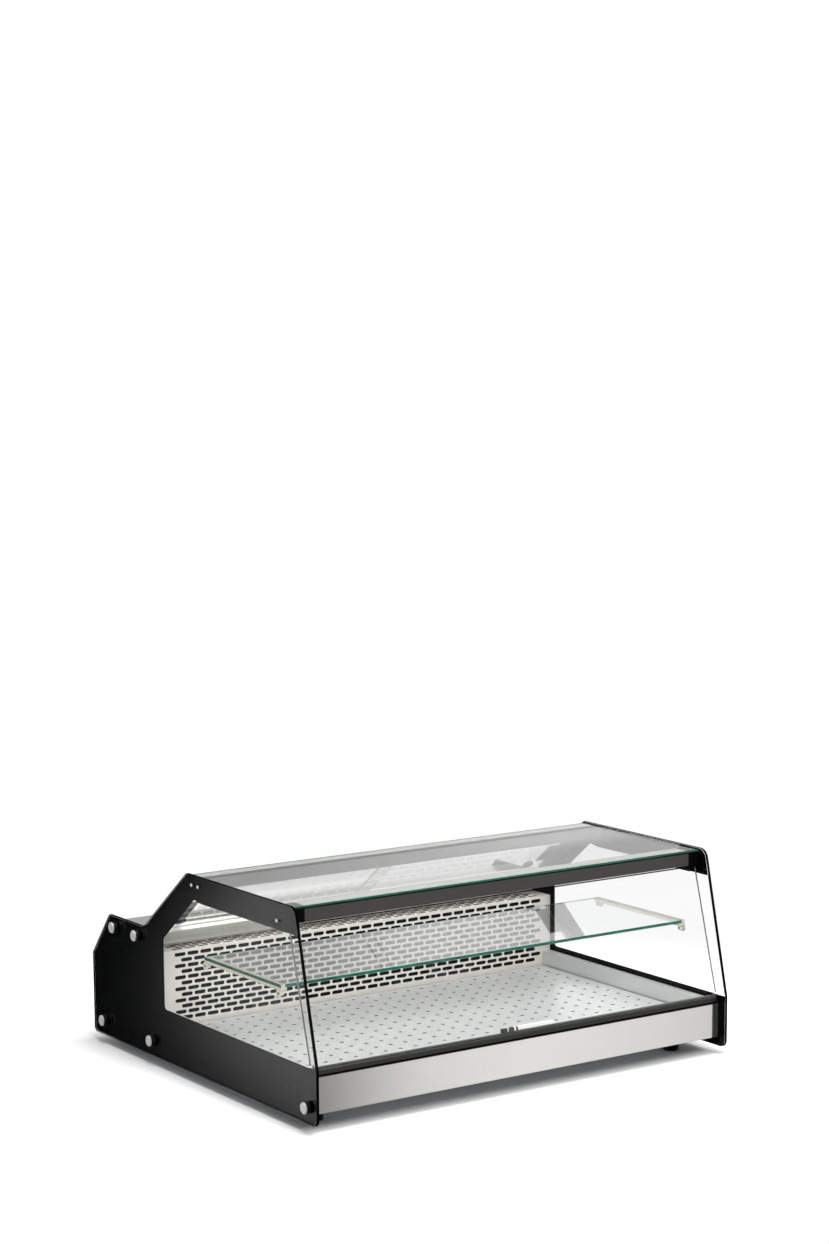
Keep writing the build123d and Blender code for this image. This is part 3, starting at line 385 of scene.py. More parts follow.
def make_finishes(colours):
    """Make every finish once."""
    matt = {"Specular_IOR_Level": 0.1}
    finishes.update(
        # The clear window mirrors little, so the optical step is small; the print has its own gloss
        panel_glass=plate_glass("toughened_panel_glass", linear("8fd0bd"), 1.0, 1.15),
        # Plain float glass: mirrors the room, green in its depth
        clear_glass=plate_glass("float_glass", linear("3fae8c"), 1.5),
        # A coating takes away most of the front pane's reflection, so its optical step is smaller
        coated_glass=plate_glass("low_reflection_glass", linear("9fd6c6"), 1.0, 1.28),
        # Smooth ink: black with a clear reflection
        enamel=fused_enamel("fused_black_enamel", colours.enamel, 0.04, 0.75),
        # Rough ink: black that mirrors nothing
        enamelled_edge=fused_enamel("enamelled_glass_edge", colours.enamel, 0.6, 0.0),
        # Polished edge: the glass's own strong green, with painted glints from bright to nearly
        # black along its length
        green_edge=ground_edge("polished_glass_edge", colours.glass_edge, 0.3),
        # Ground edge of the coated pane: a pale grey line
        grey_edge=ground_edge("ground_glass_edge", linear("98948c"), 0.7),
        # Seamed edge of the left door, seen from its shaded side: a dark line of painted shade with
        # a faint painted glint
        dark_edge=ground_edge("seamed_glass_edge", linear("232827"), 0.6),
        # Flat polished edge of the right door: painted nearly as light as what lies behind it,
        # painted light for what shows through it
        clear_edge=ground_edge("flat_polished_glass_edge", linear("b6bab5"), 0.85),
        # Painted highlight of a bevel on the printed panels: a thin grey line, broken into painted
        # glints
        arris=ground_edge("bevelled_glass_arris", linear("6f7375"), 0.35),
        # Ground sheet: grey with long soft bands of light
        stainless=brushed_stainless("brushed_stainless", colours.steel, 0.16, 0.26),
        # A finer grind: lighter, and closer to a mirror
        fascia=brushed_stainless("brushed_fascia", linear("ecebe7"), 0.08, 0.15, 0.95),
        # Satin sheet: warm even grey without bright spots
        cover_stainless=brushed_stainless("satin_stainless", linear("e3ded8"), 0.38, 0.5, 0.28),
        # Pressed sheet: cooler, with a soft shine
        tray_stainless=brushed_stainless("pressed_stainless", linear("d8d8d8"), 0.26, 0.38, 0.55),
        # Satin aluminium of the door track: near white with a dull sheen, partly its own colour and
        # partly painted light against the shade under the rear beam
        aluminium=brushed_stainless("satin_aluminium", linear("e6e7e0"), 0.32, 0.46, 0.2),
        # Champagne anodising: pale, warm and dull
        rail_aluminium=brushed_stainless("champagne_aluminium", linear("d6cfc1"), 0.3, 0.42, 0.3),
        # Dull steel plate: middle grey
        pull_steel=brushed_stainless("grey_pull_steel", linear("7d7d79"), 0.35, 0.5, 0.5),
        # Bare fins: bright grey, streaked
        fins=brushed_stainless("aluminium_fin_stock", linear("c8cacc"), 0.3, 0.45),
        turned_steel=turned_steel(),
        # Screw heads painted near white, more white than metallic: a painted highlight that shows
        # as a small bright dot
        bright_dome=grained("zinc_plated_screw", linear("fafaf8"), 0.3, 0.8, 0.005, 0.05),
        # Satin nickel: pale and warm, with a soft shine
        nickel=grained("satin_nickel", linear("ddd5c6"), 0.3, 1.5, 0.005, 0.25),
        # Drawn copper: red-brown metal, slightly dulled
        copper=grained("drawn_copper", linear("c07a52"), 0.3, 0.8, 0.01, 1.0),
        # Partition sheet painted an even near white, hardly any relief: painted light that lifts it
        # out of the shade under the rear beam
        white_coat=grained("white_coated_steel", linear("fbf9f4"), 0.45, 1.5, 0.01),
        galvanised=galvanised_steel(),
        # Powder coat on the beams: dark grey, a fine matt grain
        beam=grained("coated_aluminium_beam", colours.beam, 0.42, 0.7, 0.01),
        # The same coat on the front rail, darker
        rail=grained("coated_aluminium_rail", colours.rail, 0.4, 0.7, 0.01),
        # Moulded ABS: black, its highlight broken up by the mould's grain
        plastic=grained("moulded_black_abs", colours.plastic, 0.38, 0.9, 0.02),
        # Moulded nylon: deeper black with next to no highlight
        bracket=grained(
            "moulded_black_nylon", linear("050607"), 0.5, 0.9, 0.02, Specular_IOR_Level=0.08
        ),
        # Rubber: dead black and dull
        rubber=grained("epdm_rubber", linear("030303"), 0.6, 0.6, 0.02, **matt),
        # White ABS: clean white with a broad highlight
        white_abs=grained("moulded_white_abs", linear("f0f0ec"), 0.3, 0.9, 0.01),
        # Grey ABS: plain grey, slightly grained
        key=grained("moulded_grey_abs", linear("7d8082"), 0.4, 0.8, 0.02),
        # Smoked polycarbonate: dark grey-green and glossy
        smoked=grained("smoked_polycarbonate", linear("39403f"), 0.12, 2.0, 0.005),
        # Green polycarbonate: strong green with a hard highlight
        rocker=grained("green_polycarbonate", linear("1c7a35"), 0.18, 1.5, 0.01),
        # Opal acrylic: milky white, soft gloss
        opal=grained("opal_acrylic", linear("f4f4f0"), 0.35, 0.9, 0.01),
        # Display window: almost black with a trace of red, very glossy
        display=grained("smoked_display_window", linear("190a0a"), 0.1, 3.0, 0.002),
        # Coated fins: black with a dull sheen
        coated_fins=grained("epoxy_coated_fins", linear("17181a"), 0.45, 1.0, 0.01),
        # Stove enamel: black and glossy, faintly rippled
        enamelled_can=grained("stove_enamel", linear("121314"), 0.25, 1.5, 0.02),
        # Black gauze behind the cover's slots: painted shade
        gauze=woven_gauze(),
        # Walls left by the laser: nearly black painted shade that takes the light out of the slots
        # and the pin sockets
        cut_edge=grained("laser_cut_edge", linear("0c0b0a"), 0.7, 0.3, 0.01, **matt),
        # Foam tape under the glass: flat middle grey
        tape=grained("grey_bonding_tape", linear("8f918c"), 0.7, 1.2, 0.02),
        # Rigid foam: dull straw yellow, pitted by its pores
        foam=grained("polyurethane_foam", linear("e3cf9c"), 0.85, 1.5, 0.3),
    )


DRESS = {
    "panel_glass": ["left_end_panel", "right_end_panel"],
    "clear_glass": ["top_glass", "left_door", "right_door", "shelf_glass"],
    "coated_glass": ["front_glass"],
    "stainless": ["rear_deck", "rear_grille", "control_panel"],
    "fascia": ["fascia"],
    "cover_stainless": ["evaporator_cover"],
    "white_coat": ["partition"],
    "tray_stainless": ["well_liner", "ice_tray"],
    "aluminium": ["door_track"],
    "rail_aluminium": ["shelf_rails"],
    "turned_steel": ["panel_caps", "panel_studs"],
    "bright_dome": ["beam_screws"],
    "nickel": ["shelf_pins"],
    "galvanised": ["carcass_shell", "unit_plate"],
    "beam": ["front_beam", "rear_beam"],
    "rail": ["glass_rail"],
    "plastic": [
        "panel_collars",
        "hinge_channel",
        "pivot_blocks",
        "rail_pivots",
        "door_jambs",
        "left_door_grip",
        "right_door_grip",
        "evaporator_fan_frames",
        "left_evaporator_fan",
        "right_evaporator_fan",
        "condenser_fan_frame",
        "condenser_fan",
        "supply_gland",
        "controller",
        "switch_frame",
    ],
    "bracket": ["beam_brackets"],
    "rubber": ["edge_trims", "panel_spacers", "feet", "compressor_mounts", "glass_top_seal"],
    "white_abs": ["thermometer", "drain_spigot"],
    "smoked": ["thermometer_end"],
    "opal": ["lamp_diffuser"],
    "fins": ["condenser_coil"],
    "coated_fins": ["evaporator_coil"],
    "enamelled_can": ["compressor"],
    "copper": ["refrigerant_pipes"],
    "foam": ["base_insulation"],
    "key": ["set_key", "up_key", "down_key"],
    "rocker": ["switch_rocker"],
}


class CASE_OT_finishes(bpy.types.Operator):
    """Give every CAD node its finish"""

    bl_idname = "case.finishes"
    bl_label = "Finish the CAD nodes"

    def execute(self, context):
        make_finishes(context.scene.case_colours)
        for finish, names in DRESS.items():
            for name in names:
                for slot in nodes[name].material_slots:
                    slot.material = finishes[finish]
        return {"FINISHED"}


# Pieces


def finish_piece(name, bm, finish, body):
    """Turn a bmesh into a piece with a finish, riding on a body."""
    mesh = bpy.data.meshes.new(name)
    bm.to_mesh(mesh)
    bm.free()
    mesh.materials.append(finishes[finish])
    piece = bpy.data.objects.new(name, mesh)
    bpy.context.scene.collection.objects.link(piece)
    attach(piece, body)


def rectangle(left, right, low, high):
    """Return the corners of a rectangle in their order."""
    return [(left, low), (right, low), (right, high), (left, high)]


def round_corners(bm, corners):
    """Make one face from corners given as a point and a radius, and round each corner."""
    verts = [bm.verts.new(point) for point, radius in corners]
    bm.faces.new(verts)
    for index, (point, radius) in enumerate(corners):
        if radius:
            before = (corners[index - 1][0] - point).normalized()
            after = (corners[(index + 1) % len(corners)][0] - point).normalized()
            half = before.angle(after) / 2
            bmesh.ops.bevel(
                bm,
                geom=[verts[index]],
                offset=radius / tan(half),
                offset_type="OFFSET",
                affect="VERTICES",
                segments=8,
                profile=0.5,
                material=-1,
            )


def extrude(bm, faces):
    """Extrude faces and return the vertices of the new ones."""
    made = bmesh.ops.extrude_face_region(bm, geom=faces)["geom"]
    return [v for v in made if isinstance(v, bmesh.types.BMVert)]


def thicken(bm, along):
    """Extrude the flat faces in a bmesh into plates."""
    bmesh.ops.translate(bm, verts=extrude(bm, bm.faces[:]), vec=along)
    bmesh.ops.recalc_face_normals(bm, faces=bm.faces)


def plate(name, corners, along, finish, body):
    """Make a thin plate from corners given as a point and a radius, and the way to its far face."""
    bm = bmesh.new()
    round_corners(bm, corners)
    thicken(bm, along)
    finish_piece(name, bm, finish, body)


def merged_copy(node):
    """Return a copy of a CAD node's mesh, its loose triangles joined."""
    bm = bmesh.new()
    bm.from_mesh(nodes[node].data)
    bmesh.ops.remove_doubles(bm, verts=bm.verts, dist=MERGE)
    bm.normal_update()
    return bm


def peel(bm, others, lift, thickness):
    """Take the other faces away, move what is left along its normals and give it a thickness."""
    bmesh.ops.delete(bm, geom=others, context="FACES")
    bm.normal_update()
    for vert in bm.verts:
        vert.co += vert.normal * lift
    bmesh.ops.solidify(bm, geom=bm.faces[:], thickness=thickness)


def repeat(shape, places):
    """Return a bmesh with a copy of a shape at each place, and free the shape."""
    single = bpy.data.meshes.new("repeated_shape")
    shape.to_mesh(single)
    shape.free()
    bm = bmesh.new()
    for place in places:
        count = len(bm.verts)
        bm.from_mesh(single)
        bm.verts.ensure_lookup_table()
        bmesh.ops.transform(bm, matrix=place, verts=bm.verts[count:])
    bpy.data.meshes.remove(single)
    return bm


class CASE_OT_panel_print(bpy.types.Operator):
    """Fuse the black enamel border into both end panels, clear of the window"""

    bl_idname = "case.panel_print"
    bl_label = "Print the end panels"

    def execute(self, context):
        sizes = context.scene.case_sizes
        foot, head = sizes.window_foot / MM, sizes.window_head / MM
        back = sizes.window_back / MM
        border = [
            (y + PRINT_INSET * in_y, z + PRINT_INSET * in_z, radius)
            for y, z, radius, in_y, in_z in PANEL
        ]
        # The window is open to the front edge
        window = [
            (PRINT_INSET, foot, 0),
            (back, foot, 8),
            (back, 254, 6),
            (451, 355, 6),
            (424, head - 1, 8),
            ((head - foot) * FRONT_LEAN + 1.6, head, 0),
        ]
        outline = [border[0], *window, *border[1:]]
        # The ink lies just inside the glass; a matt primer lies behind it, towards the inside
        for end, side in (("left", -1), ("right", 1)):
            along = Vector((side * sizes.print_depth / 2, 0, 0))
            for layer, x, finish in (
                ("print", 494.15, "enamel"),
                ("primer", 494.04, "enamelled_edge"),
            ):
                corners = [(at(side * x, y, z), radius * MM) for y, z, radius in outline]
                plate(f"{end}_panel_{layer}", corners, along, finish, "case")
        return {"FINISHED"}


class CASE_OT_glass_edges(bpy.types.Operator):
    """Skin the edges of every pane: black on the printed panels, green or grey on the clear ones"""

    bl_idname = "case.glass_edges"
    bl_label = "Grind the glass edges"

    def execute(self, context):
        skin = context.scene.case_sizes.edge_skin
        # How far a skin stands off its edge, in thicknesses of itself; the front pane's lies inside
        # the glass, where it is seen as one even line
        outside, inside = 1.5, -3.0
        for node, body, finish, slot, lift in (
            ("left_end_panel", "case", "enamelled_edge", "printed_glass", outside),
            ("right_end_panel", "case", "enamelled_edge", "printed_glass", outside),
            ("top_glass", "case", "green_edge", "clear_glass", outside),
            ("shelf_glass", "shelf", "green_edge", "clear_glass", outside),
            ("front_glass", "front_glass_leaf", "grey_edge", "clear_glass", inside),
            ("left_door", "left_door_leaf", "dark_edge", "clear_glass", outside),
            ("right_door", "right_door_leaf", "clear_edge", "clear_glass", outside),
        ):
            bm = merged_copy(node)
            # The pane's two sides look along the normal of its largest face
            across = max(bm.faces, key=lambda face: face.calc_area()).normal.copy()
            flat = [face for face in bm.faces if abs(face.normal.dot(across)) > 0.9]
            peel(bm, flat, lift * skin, skin)
            finish_piece(node + "_edge", bm, finish, body)
        return {"FINISHED"}


class CASE_OT_gauze(bpy.types.Operator):
    """Hang a black gauze behind the slots of the evaporator cover, clear of the fans: painted shade
    that keeps the slots dark
    """

    bl_idname = "case.gauze"
    # The gauze stands for the shade inside the cover
    bl_label = "Hang the filter gauze"

    def execute(self, context):
        corner, thick = 1.0 * MM, 0.3 * MM
        behind_cover, under_flange = 591.15, 220.4
        for name, left, right, low, high in (
            ("gauze_head", -468, 468, 199.5, 220.3),
            ("gauze_left", -468, -281, 72, 199),
            ("gauze_middle", -159, 159, 72, 199),
            ("gauze_right", 281, 468, 72, 199),
        ):
            points = rectangle(left, right, low, high)
            corners = [(at(x, behind_cover, z), corner) for x, z in points]
            plate(name, corners, Vector((0, thick, 0)), "gauze", "case")
        points = rectangle(-468, 468, 593, 652)
        corners = [(at(x, y, under_flange), corner) for x, y in points]
        plate("gauze_top", corners, Vector((0, 0, thick)), "gauze", "case")
        return {"FINISHED"}


class CASE_OT_door_pulls(bpy.types.Operator):
    """Lay a thin satin pull plate on the outer end of each sliding door"""

    bl_idname = "case.door_pulls"
    bl_label = "Fit the door pull plates"

    def execute(self, context):
        thick = context.scene.case_sizes.pull_thickness / MM
        along = on_slope(DOOR_SLOPE, 0, 0, thick) - on_slope(DOOR_SLOPE, 0, 0, 0)
        upper, lower, corner = 88, 158, 3 * MM
        for name, body, left, right, face in (
            ("left_door_pull", "left_door_leaf", -482.5, -437.0, -22.0),
            ("right_door_pull", "right_door_leaf", 450.0, 482.5, -10.0),
        ):
            points = rectangle(left, right, upper, lower)
            corners = [(on_slope(DOOR_SLOPE, x, down, face), corner) for x, down in points]
            plate(name, corners, along, "pull_steel", body)
        return {"FINISHED"}


class CASE_OT_panel_arris(bpy.types.Operator):
    """Paint a thin grey highlight along the rear and lower edges of both end panels, where a bevel
    would catch a thin line of light
    """

    bl_idname = "case.panel_arris"
    bl_label = "Bevel the panel edges"

    def execute(self, context):
        width = context.scene.case_sizes.arris
        outer_face, thick = 500.0 + PROUD, 0.05 * MM
        behind, low = at(0, 474, 0).y, at(0, 0, 8).z
        for side, name in ((-1, "left_panel_arris"), (1, "right_panel_arris")):
            bm = bmesh.new()
            corners = [(at(side * outer_face, y, z), radius * MM) for y, z, radius, *_ in PANEL]
            round_corners(bm, corners)
            # A flat grey strip inset from the outline paints the bevel's highlight; the glass
            # itself has no bevel
            bmesh.ops.inset_region(
                bm, faces=bm.faces[:], thickness=width, use_even_offset=True, use_boundary=True
            )
            others = []
            for face in bm.faces:
                middle = face.calc_center_median()
                if len(face.verts) != 4 or not (middle.y > behind or middle.z < low):
                    others.append(face)
            bmesh.ops.delete(bm, geom=others, context="FACES")
            thicken(bm, Vector((side * thick, 0, 0)))
            finish_piece(name, bm, "arris", "case")
        return {"FINISHED"}


class CASE_OT_cut_edges(bpy.types.Operator):
    """Darken the laser-cut walls of the slots in the evaporator cover with painted shade"""

    bl_idname = "case.cut_edges"
    bl_label = "Cut the cover's slots"

    def execute(self, context):
        lift, thick = 0.04 * MM, 0.03 * MM
        wall = 0.1  # the normal of a slot's wall has less than this along the cut
        # Slotted fields of the upright sheet and of its top flange, and the axis of their cuts
        fields = (
            (at(-470, 589.9, 68), at(470, 591.1, 219), 1),
            (at(-470, 593, 220.9), at(470, 652, 222.1), 2),
        )
        bm = merged_copy("evaporator_cover")
        others = []
        for face in bm.faces:
            middle = face.calc_center_median()
            if not any(
                all(a < m < b for a, m, b in zip(low, middle, high))
                and abs(face.normal[axis]) < wall
                for low, high, axis in fields
            ):
                others.append(face)
        peel(bm, others, lift, thick)
        finish_piece("slot_edges", bm, "cut_edge", "case")
        return {"FINISHED"}


class CASE_OT_beam_tape(bpy.types.Operator):
    """Bond the top glass: grey tape on both beams, and along the front one a black strip of painted
    shadow where the glass meets it
    """

    bl_idname = "case.beam_tape"
    bl_label = "Lay the bonding tape"

    def execute(self, context):
        beam_top, beam_front = 396.53, 87.7
        for name, half, front, back in (
            ("rear_beam_tape", 490, 438, 468),
            ("front_beam_tape", 464, 90, 127),
        ):
            points = rectangle(-half, half, front, back)
            corners = [(at(x, y, beam_top), 0.5 * MM) for x, y in points]
            plate(name, corners, Vector((0, 0, 0.1 * MM)), "tape", "case")
        # A thin black strip on the front beam's face paints the shadow line under the top glass
        points = rectangle(-493, 493, 396.4, 398.6)
        corners = [(at(x, beam_front, z), 0.8 * MM) for x, z in points]
        along = Vector((0, -0.25 * MM, 0))
        plate("front_beam_bead", corners, along, "rubber", "case")
        return {"FINISHED"}


class CASE_OT_thermometer_bands(bpy.types.Operator):
    """Band the strip thermometer: a black ring and two pale ones where the window meets the body"""

    bl_idname = "case.thermometer_bands"
    bl_label = "Band the thermometer"

    def execute(self, context):
        front, back, foot, head = 44.8, 51.2, 84.8, 110.2
        for name, left, right, finish, slot in (
            ("thermometer_ring", -8.5, -4.0, "plastic", "black_plastic"),
            ("thermometer_collar", -13.0, -9.5, "white_abs", "white_plastic"),
            ("thermometer_line", -29.0, -26.5, "white_abs", "white_plastic"),
        ):
            bm = bmesh.new()
            bmesh.ops.create_cube(bm, size=1.0)
            low, high = at(left, front, foot), at(right, back, head)
            bmesh.ops.scale(bm, verts=bm.verts, vec=high - low)
            bmesh.ops.translate(bm, verts=bm.verts, vec=(low + high) / 2)
            bmesh.ops.bevel(
                bm,
                geom=bm.edges[:],
                offset=0.3 * MM,
                affect="EDGES",
                segments=2,
                profile=0.5,
                material=-1,
            )
            finish_piece(name, bm, finish, "case")
        return {"FINISHED"}


class CASE_OT_pin_ends(bpy.types.Operator):
    """Bond the flange of every shelf pin to its panel, and paint a flat dark hexagon on both ends:
    painted shade for its socket
    """

    bl_idname = "case.pin_ends"
    bl_label = "Fit the pin ends"

    def execute(self, context):
        # Distances from the middle: the bonded face and the painted shade of its socket lie just
        # inside the panel glass
        self.discs("pin_faces", (-494.1, 494.05), 48, 7.8, "nickel")
        self.discs("pin_sockets", (-494.2, -481.95, 481.9, 494.15), 6, 2.6, "cut_edge")
        return {"FINISHED"}

    def discs(self, name, places, sides, radius, finish):
        """Set a thin disc on the axis of each pin, at each distance from the middle of the case."""
        front_pin, rear_pin, height, thick = 137, 412, 228.7, 0.05 * MM
        turn = Matrix.Rotation(pi / 2, 3, "Y")
        bm = bmesh.new()
        for x in places:
            for y in (front_pin, rear_pin):
                disc = bmesh.ops.create_circle(
                    bm, cap_ends=True, segments=sides, radius=radius * MM
                )["verts"]
                bmesh.ops.rotate(bm, verts=disc, cent=(0, 0, 0), matrix=turn)
                bmesh.ops.translate(bm, verts=disc, vec=at(x, y, height))
        thicken(bm, Vector((thick, 0, 0)))
        finish_piece(name, bm, finish, "case")


class CASE_OT_louvre_hoods(bpy.types.Operator):
    """Press a hood over every slot of the rear grille"""

    bl_idname = "case.louvre_hoods"
    bl_label = "Press the louvre hoods"

    def execute(self, context):
        depth = context.scene.case_sizes.hood_depth
        half_length, rise, thick = 32.5 * MM, 6.8 * MM, 0.4 * MM
        columns, rows, column_pitch, row_pitch = 10, 9, 70, 12
        middle = 92.2 - 3.0  # the hoods start a little below the middle of their slots
        hood = bmesh.new()
        bmesh.ops.create_uvsphere(hood, u_segments=16, v_segments=8, radius=1.0)
        turn = Matrix.Rotation(pi / 2, 3, "Y")
        bmesh.ops.rotate(hood, verts=hood.verts, cent=(0, 0, 0), matrix=turn)
        bmesh.ops.scale(hood, verts=hood.verts, vec=(half_length, depth, rise))
        for normal in ((0, -1, 0), (0, 0, -1)):
            bmesh.ops.bisect_plane(
                hood,
                geom=hood.verts[:] + hood.edges[:] + hood.faces[:],
                dist=MERGE,
                plane_co=(0, 0, 0),
                plane_no=normal,
                clear_outer=True,
            )
        # The cuts run through the sphere's own corners, so what they double there is merged
        bmesh.ops.remove_doubles(hood, verts=hood.verts, dist=10 * MERGE)
        bmesh.ops.dissolve_degenerate(hood, dist=MERGE, edges=hood.edges[:])
        bmesh.ops.solidify(hood, geom=hood.faces[:], thickness=thick)
        places = []
        for column in range(columns):
            x = column_pitch * (column - (columns - 1) / 2)
            for row in range(rows):
                z = middle + row_pitch * (row - (rows - 1) / 2)
                places.append(Matrix.Translation(at(x, REAR_FACE, z)))
        finish_piece("louvre_hoods", repeat(hood, places), "stainless", "case")
        return {"FINISHED"}


class CASE_OT_fasteners(bpy.types.Operator):
    """Drive domed screws with round sockets into the deck, the control panel and the rear grille"""

    bl_idname = "case.fasteners"
    bl_label = "Drive the screws"

    def execute(self, context):
        up = Vector((0, 0, 1))
        flat, rear = Matrix.Identity(4), Matrix.Rotation(-pi / 2, 4, "X")
        out = on_slope(CONTROL_SLOPE, 0, 0, 1) - on_slope(CONTROL_SLOPE, 0, 0, 0)
        tilted = up.rotation_difference(out).to_matrix().to_4x4()
        places = []
        for x in (-472, 0, 472):
            places.append((at(x, 787, DECK_TOP), flat))
            places.append((at(x, REAR_FACE, 30), rear))
            places.append((at(x, REAR_FACE, 155), rear))
        for x in (-472, 472):
            places.append((at(x, 664, DECK_TOP), flat))
            places.append((on_slope(CONTROL_SLOPE, x, 14, PROUD), tilted))
            places.append((on_slope(CONTROL_SLOPE, x, 97, PROUD), tilted))
        head = self.head(context.scene.case_sizes.screw_head)
        bm = repeat(head, [Matrix.Translation(point) @ turn for point, turn in places])
        finish_piece("sheet_screws", bm, "turned_steel", "case")
        return {"FINISHED"}

    def head(self, radius):
        """Return one domed head, standing up from the origin."""
        sides, land, socket = 24, 0.06 * radius, 0.5 * radius
        head = bmesh.new()
        bmesh.ops.create_circle(head, cap_ends=True, segments=sides, radius=radius)
        # Each step of the dome: its radius and its rise, in radii of the head
        for width, rise in ((0.97, 0.35), (0.78, 0.3), (0.5, 0.12)):
            verts = extrude(head, [self.top(head)])
            shrink = width * radius / verts[0].co.xy.length
            bmesh.ops.scale(head, verts=verts, vec=(shrink, shrink, 1.0))
            bmesh.ops.translate(head, verts=verts, vec=(0, 0, rise * radius))
        bmesh.ops.inset_region(head, faces=[self.top(head)], thickness=land, depth=0.0)
        discs = [f for f in head.faces if f.normal.z > 0.99 and len(f.verts) == sides]
        crown = min(discs, key=lambda face: face.calc_area())
        bmesh.ops.translate(head, verts=extrude(head, [crown]), vec=(0, 0, -socket))
        # The faces that were extruded stay behind inside the head
        inner = [f for f in head.faces if all(len(edge.link_faces) > 2 for edge in f.edges)]
        bmesh.ops.delete(head, geom=inner, context="FACES_ONLY")
        bmesh.ops.recalc_face_normals(head, faces=head.faces)
        return head

    def top(self, head):
        """Return the highest face."""
        return max(head.faces, key=lambda face: face.calc_center_median().z)


class CASE_OT_control_marks(bpy.types.Operator):
    """Fit the controller's dark window and the marks on its keys"""

    bl_idname = "case.control_marks"
    bl_label = "Fit the control details"

    def execute(self, context):
        middle, bezel, keys, thick = 55.4, 5.0 + PROUD, 6.2 + PROUD, 0.25
        up_arrow = [(-2.2, 1.6), (2.2, 1.6), (0, -2.2)]
        down_arrow = [(-2.2, -1.6), (0, 2.2), (2.2, -1.6)]
        square, display = rectangle(-2, 2, -2, 2), rectangle(-35, 2, -9, 9)
        along = on_slope(CONTROL_SLOPE, 0, 0, thick) - on_slope(CONTROL_SLOPE, 0, 0, 0)
        for name, points, radius, x, out, finish, body, slot in (
            ("controller_window", display, 2.0, 330, bezel, "display", "case", "black_plastic"),
            ("set_mark", square, 0.6, 336, keys, "white_abs", "set_button", "white_plastic"),
            ("up_mark", up_arrow, 0.3, 347, keys, "white_abs", "up_button", "white_plastic"),
            ("down_mark", down_arrow, 0.3, 358, keys, "white_abs", "down_button", "white_plastic"),
        ):
            corners = [
                (on_slope(CONTROL_SLOPE, x + a, middle + b, out), radius * MM) for a, b in points
            ]
            plate(name, corners, along, finish, body)
        return {"FINISHED"}


# Stage


def wire(tree, known, rows):
    """Add a node for each row and return all values by name.

    A row has a name, an operation and its inputs, which are numbers or the names of known values.
    The kinds of ray are known: camera, glossy, transmitted, and mirrors, the reflections so far.
    """
    ramp = ("Value", "From Min", "From Max", "To Min", "To Max")
    path = add(tree, "ShaderNodeLightPath").outputs
    known.update(camera=path["Is Camera Ray"], glossy=path["Is Glossy Ray"])
    known.update(transmitted=path["Is Transmission Ray"], mirrors=path["Glossy Depth"])
    for name, operation, *inputs in rows:
        values = [known.get(value, value) for value in inputs]
        if operation in ("LINEAR", "SMOOTHSTEP"):
            sockets = dict(zip(ramp, values))
            node = add(tree, "ShaderNodeMapRange", sockets, interpolation_type=operation)
        elif operation == "MIX":
            node = add(tree, "ShaderNodeMix", dict(zip((0, 2, 3), values)))
        else:
            node = add(tree, "ShaderNodeMath", dict(enumerate(values)), operation=operation)
        known[name] = node.outputs[0]
    return known


# Where the paper floor fades out, and which rays see it
FLOOR = [
    ("fade", "SMOOTHSTEP", "distance", 0.7, 1.3),
    ("seen", "MAXIMUM", "glossy", "transmitted"),
    ("seen", "MAXIMUM", "camera", "seen"),
    ("far", "MULTIPLY", "fade", "seen"),
    ("mirror", "GREATER_THAN", "mirrors", 0.5),
]
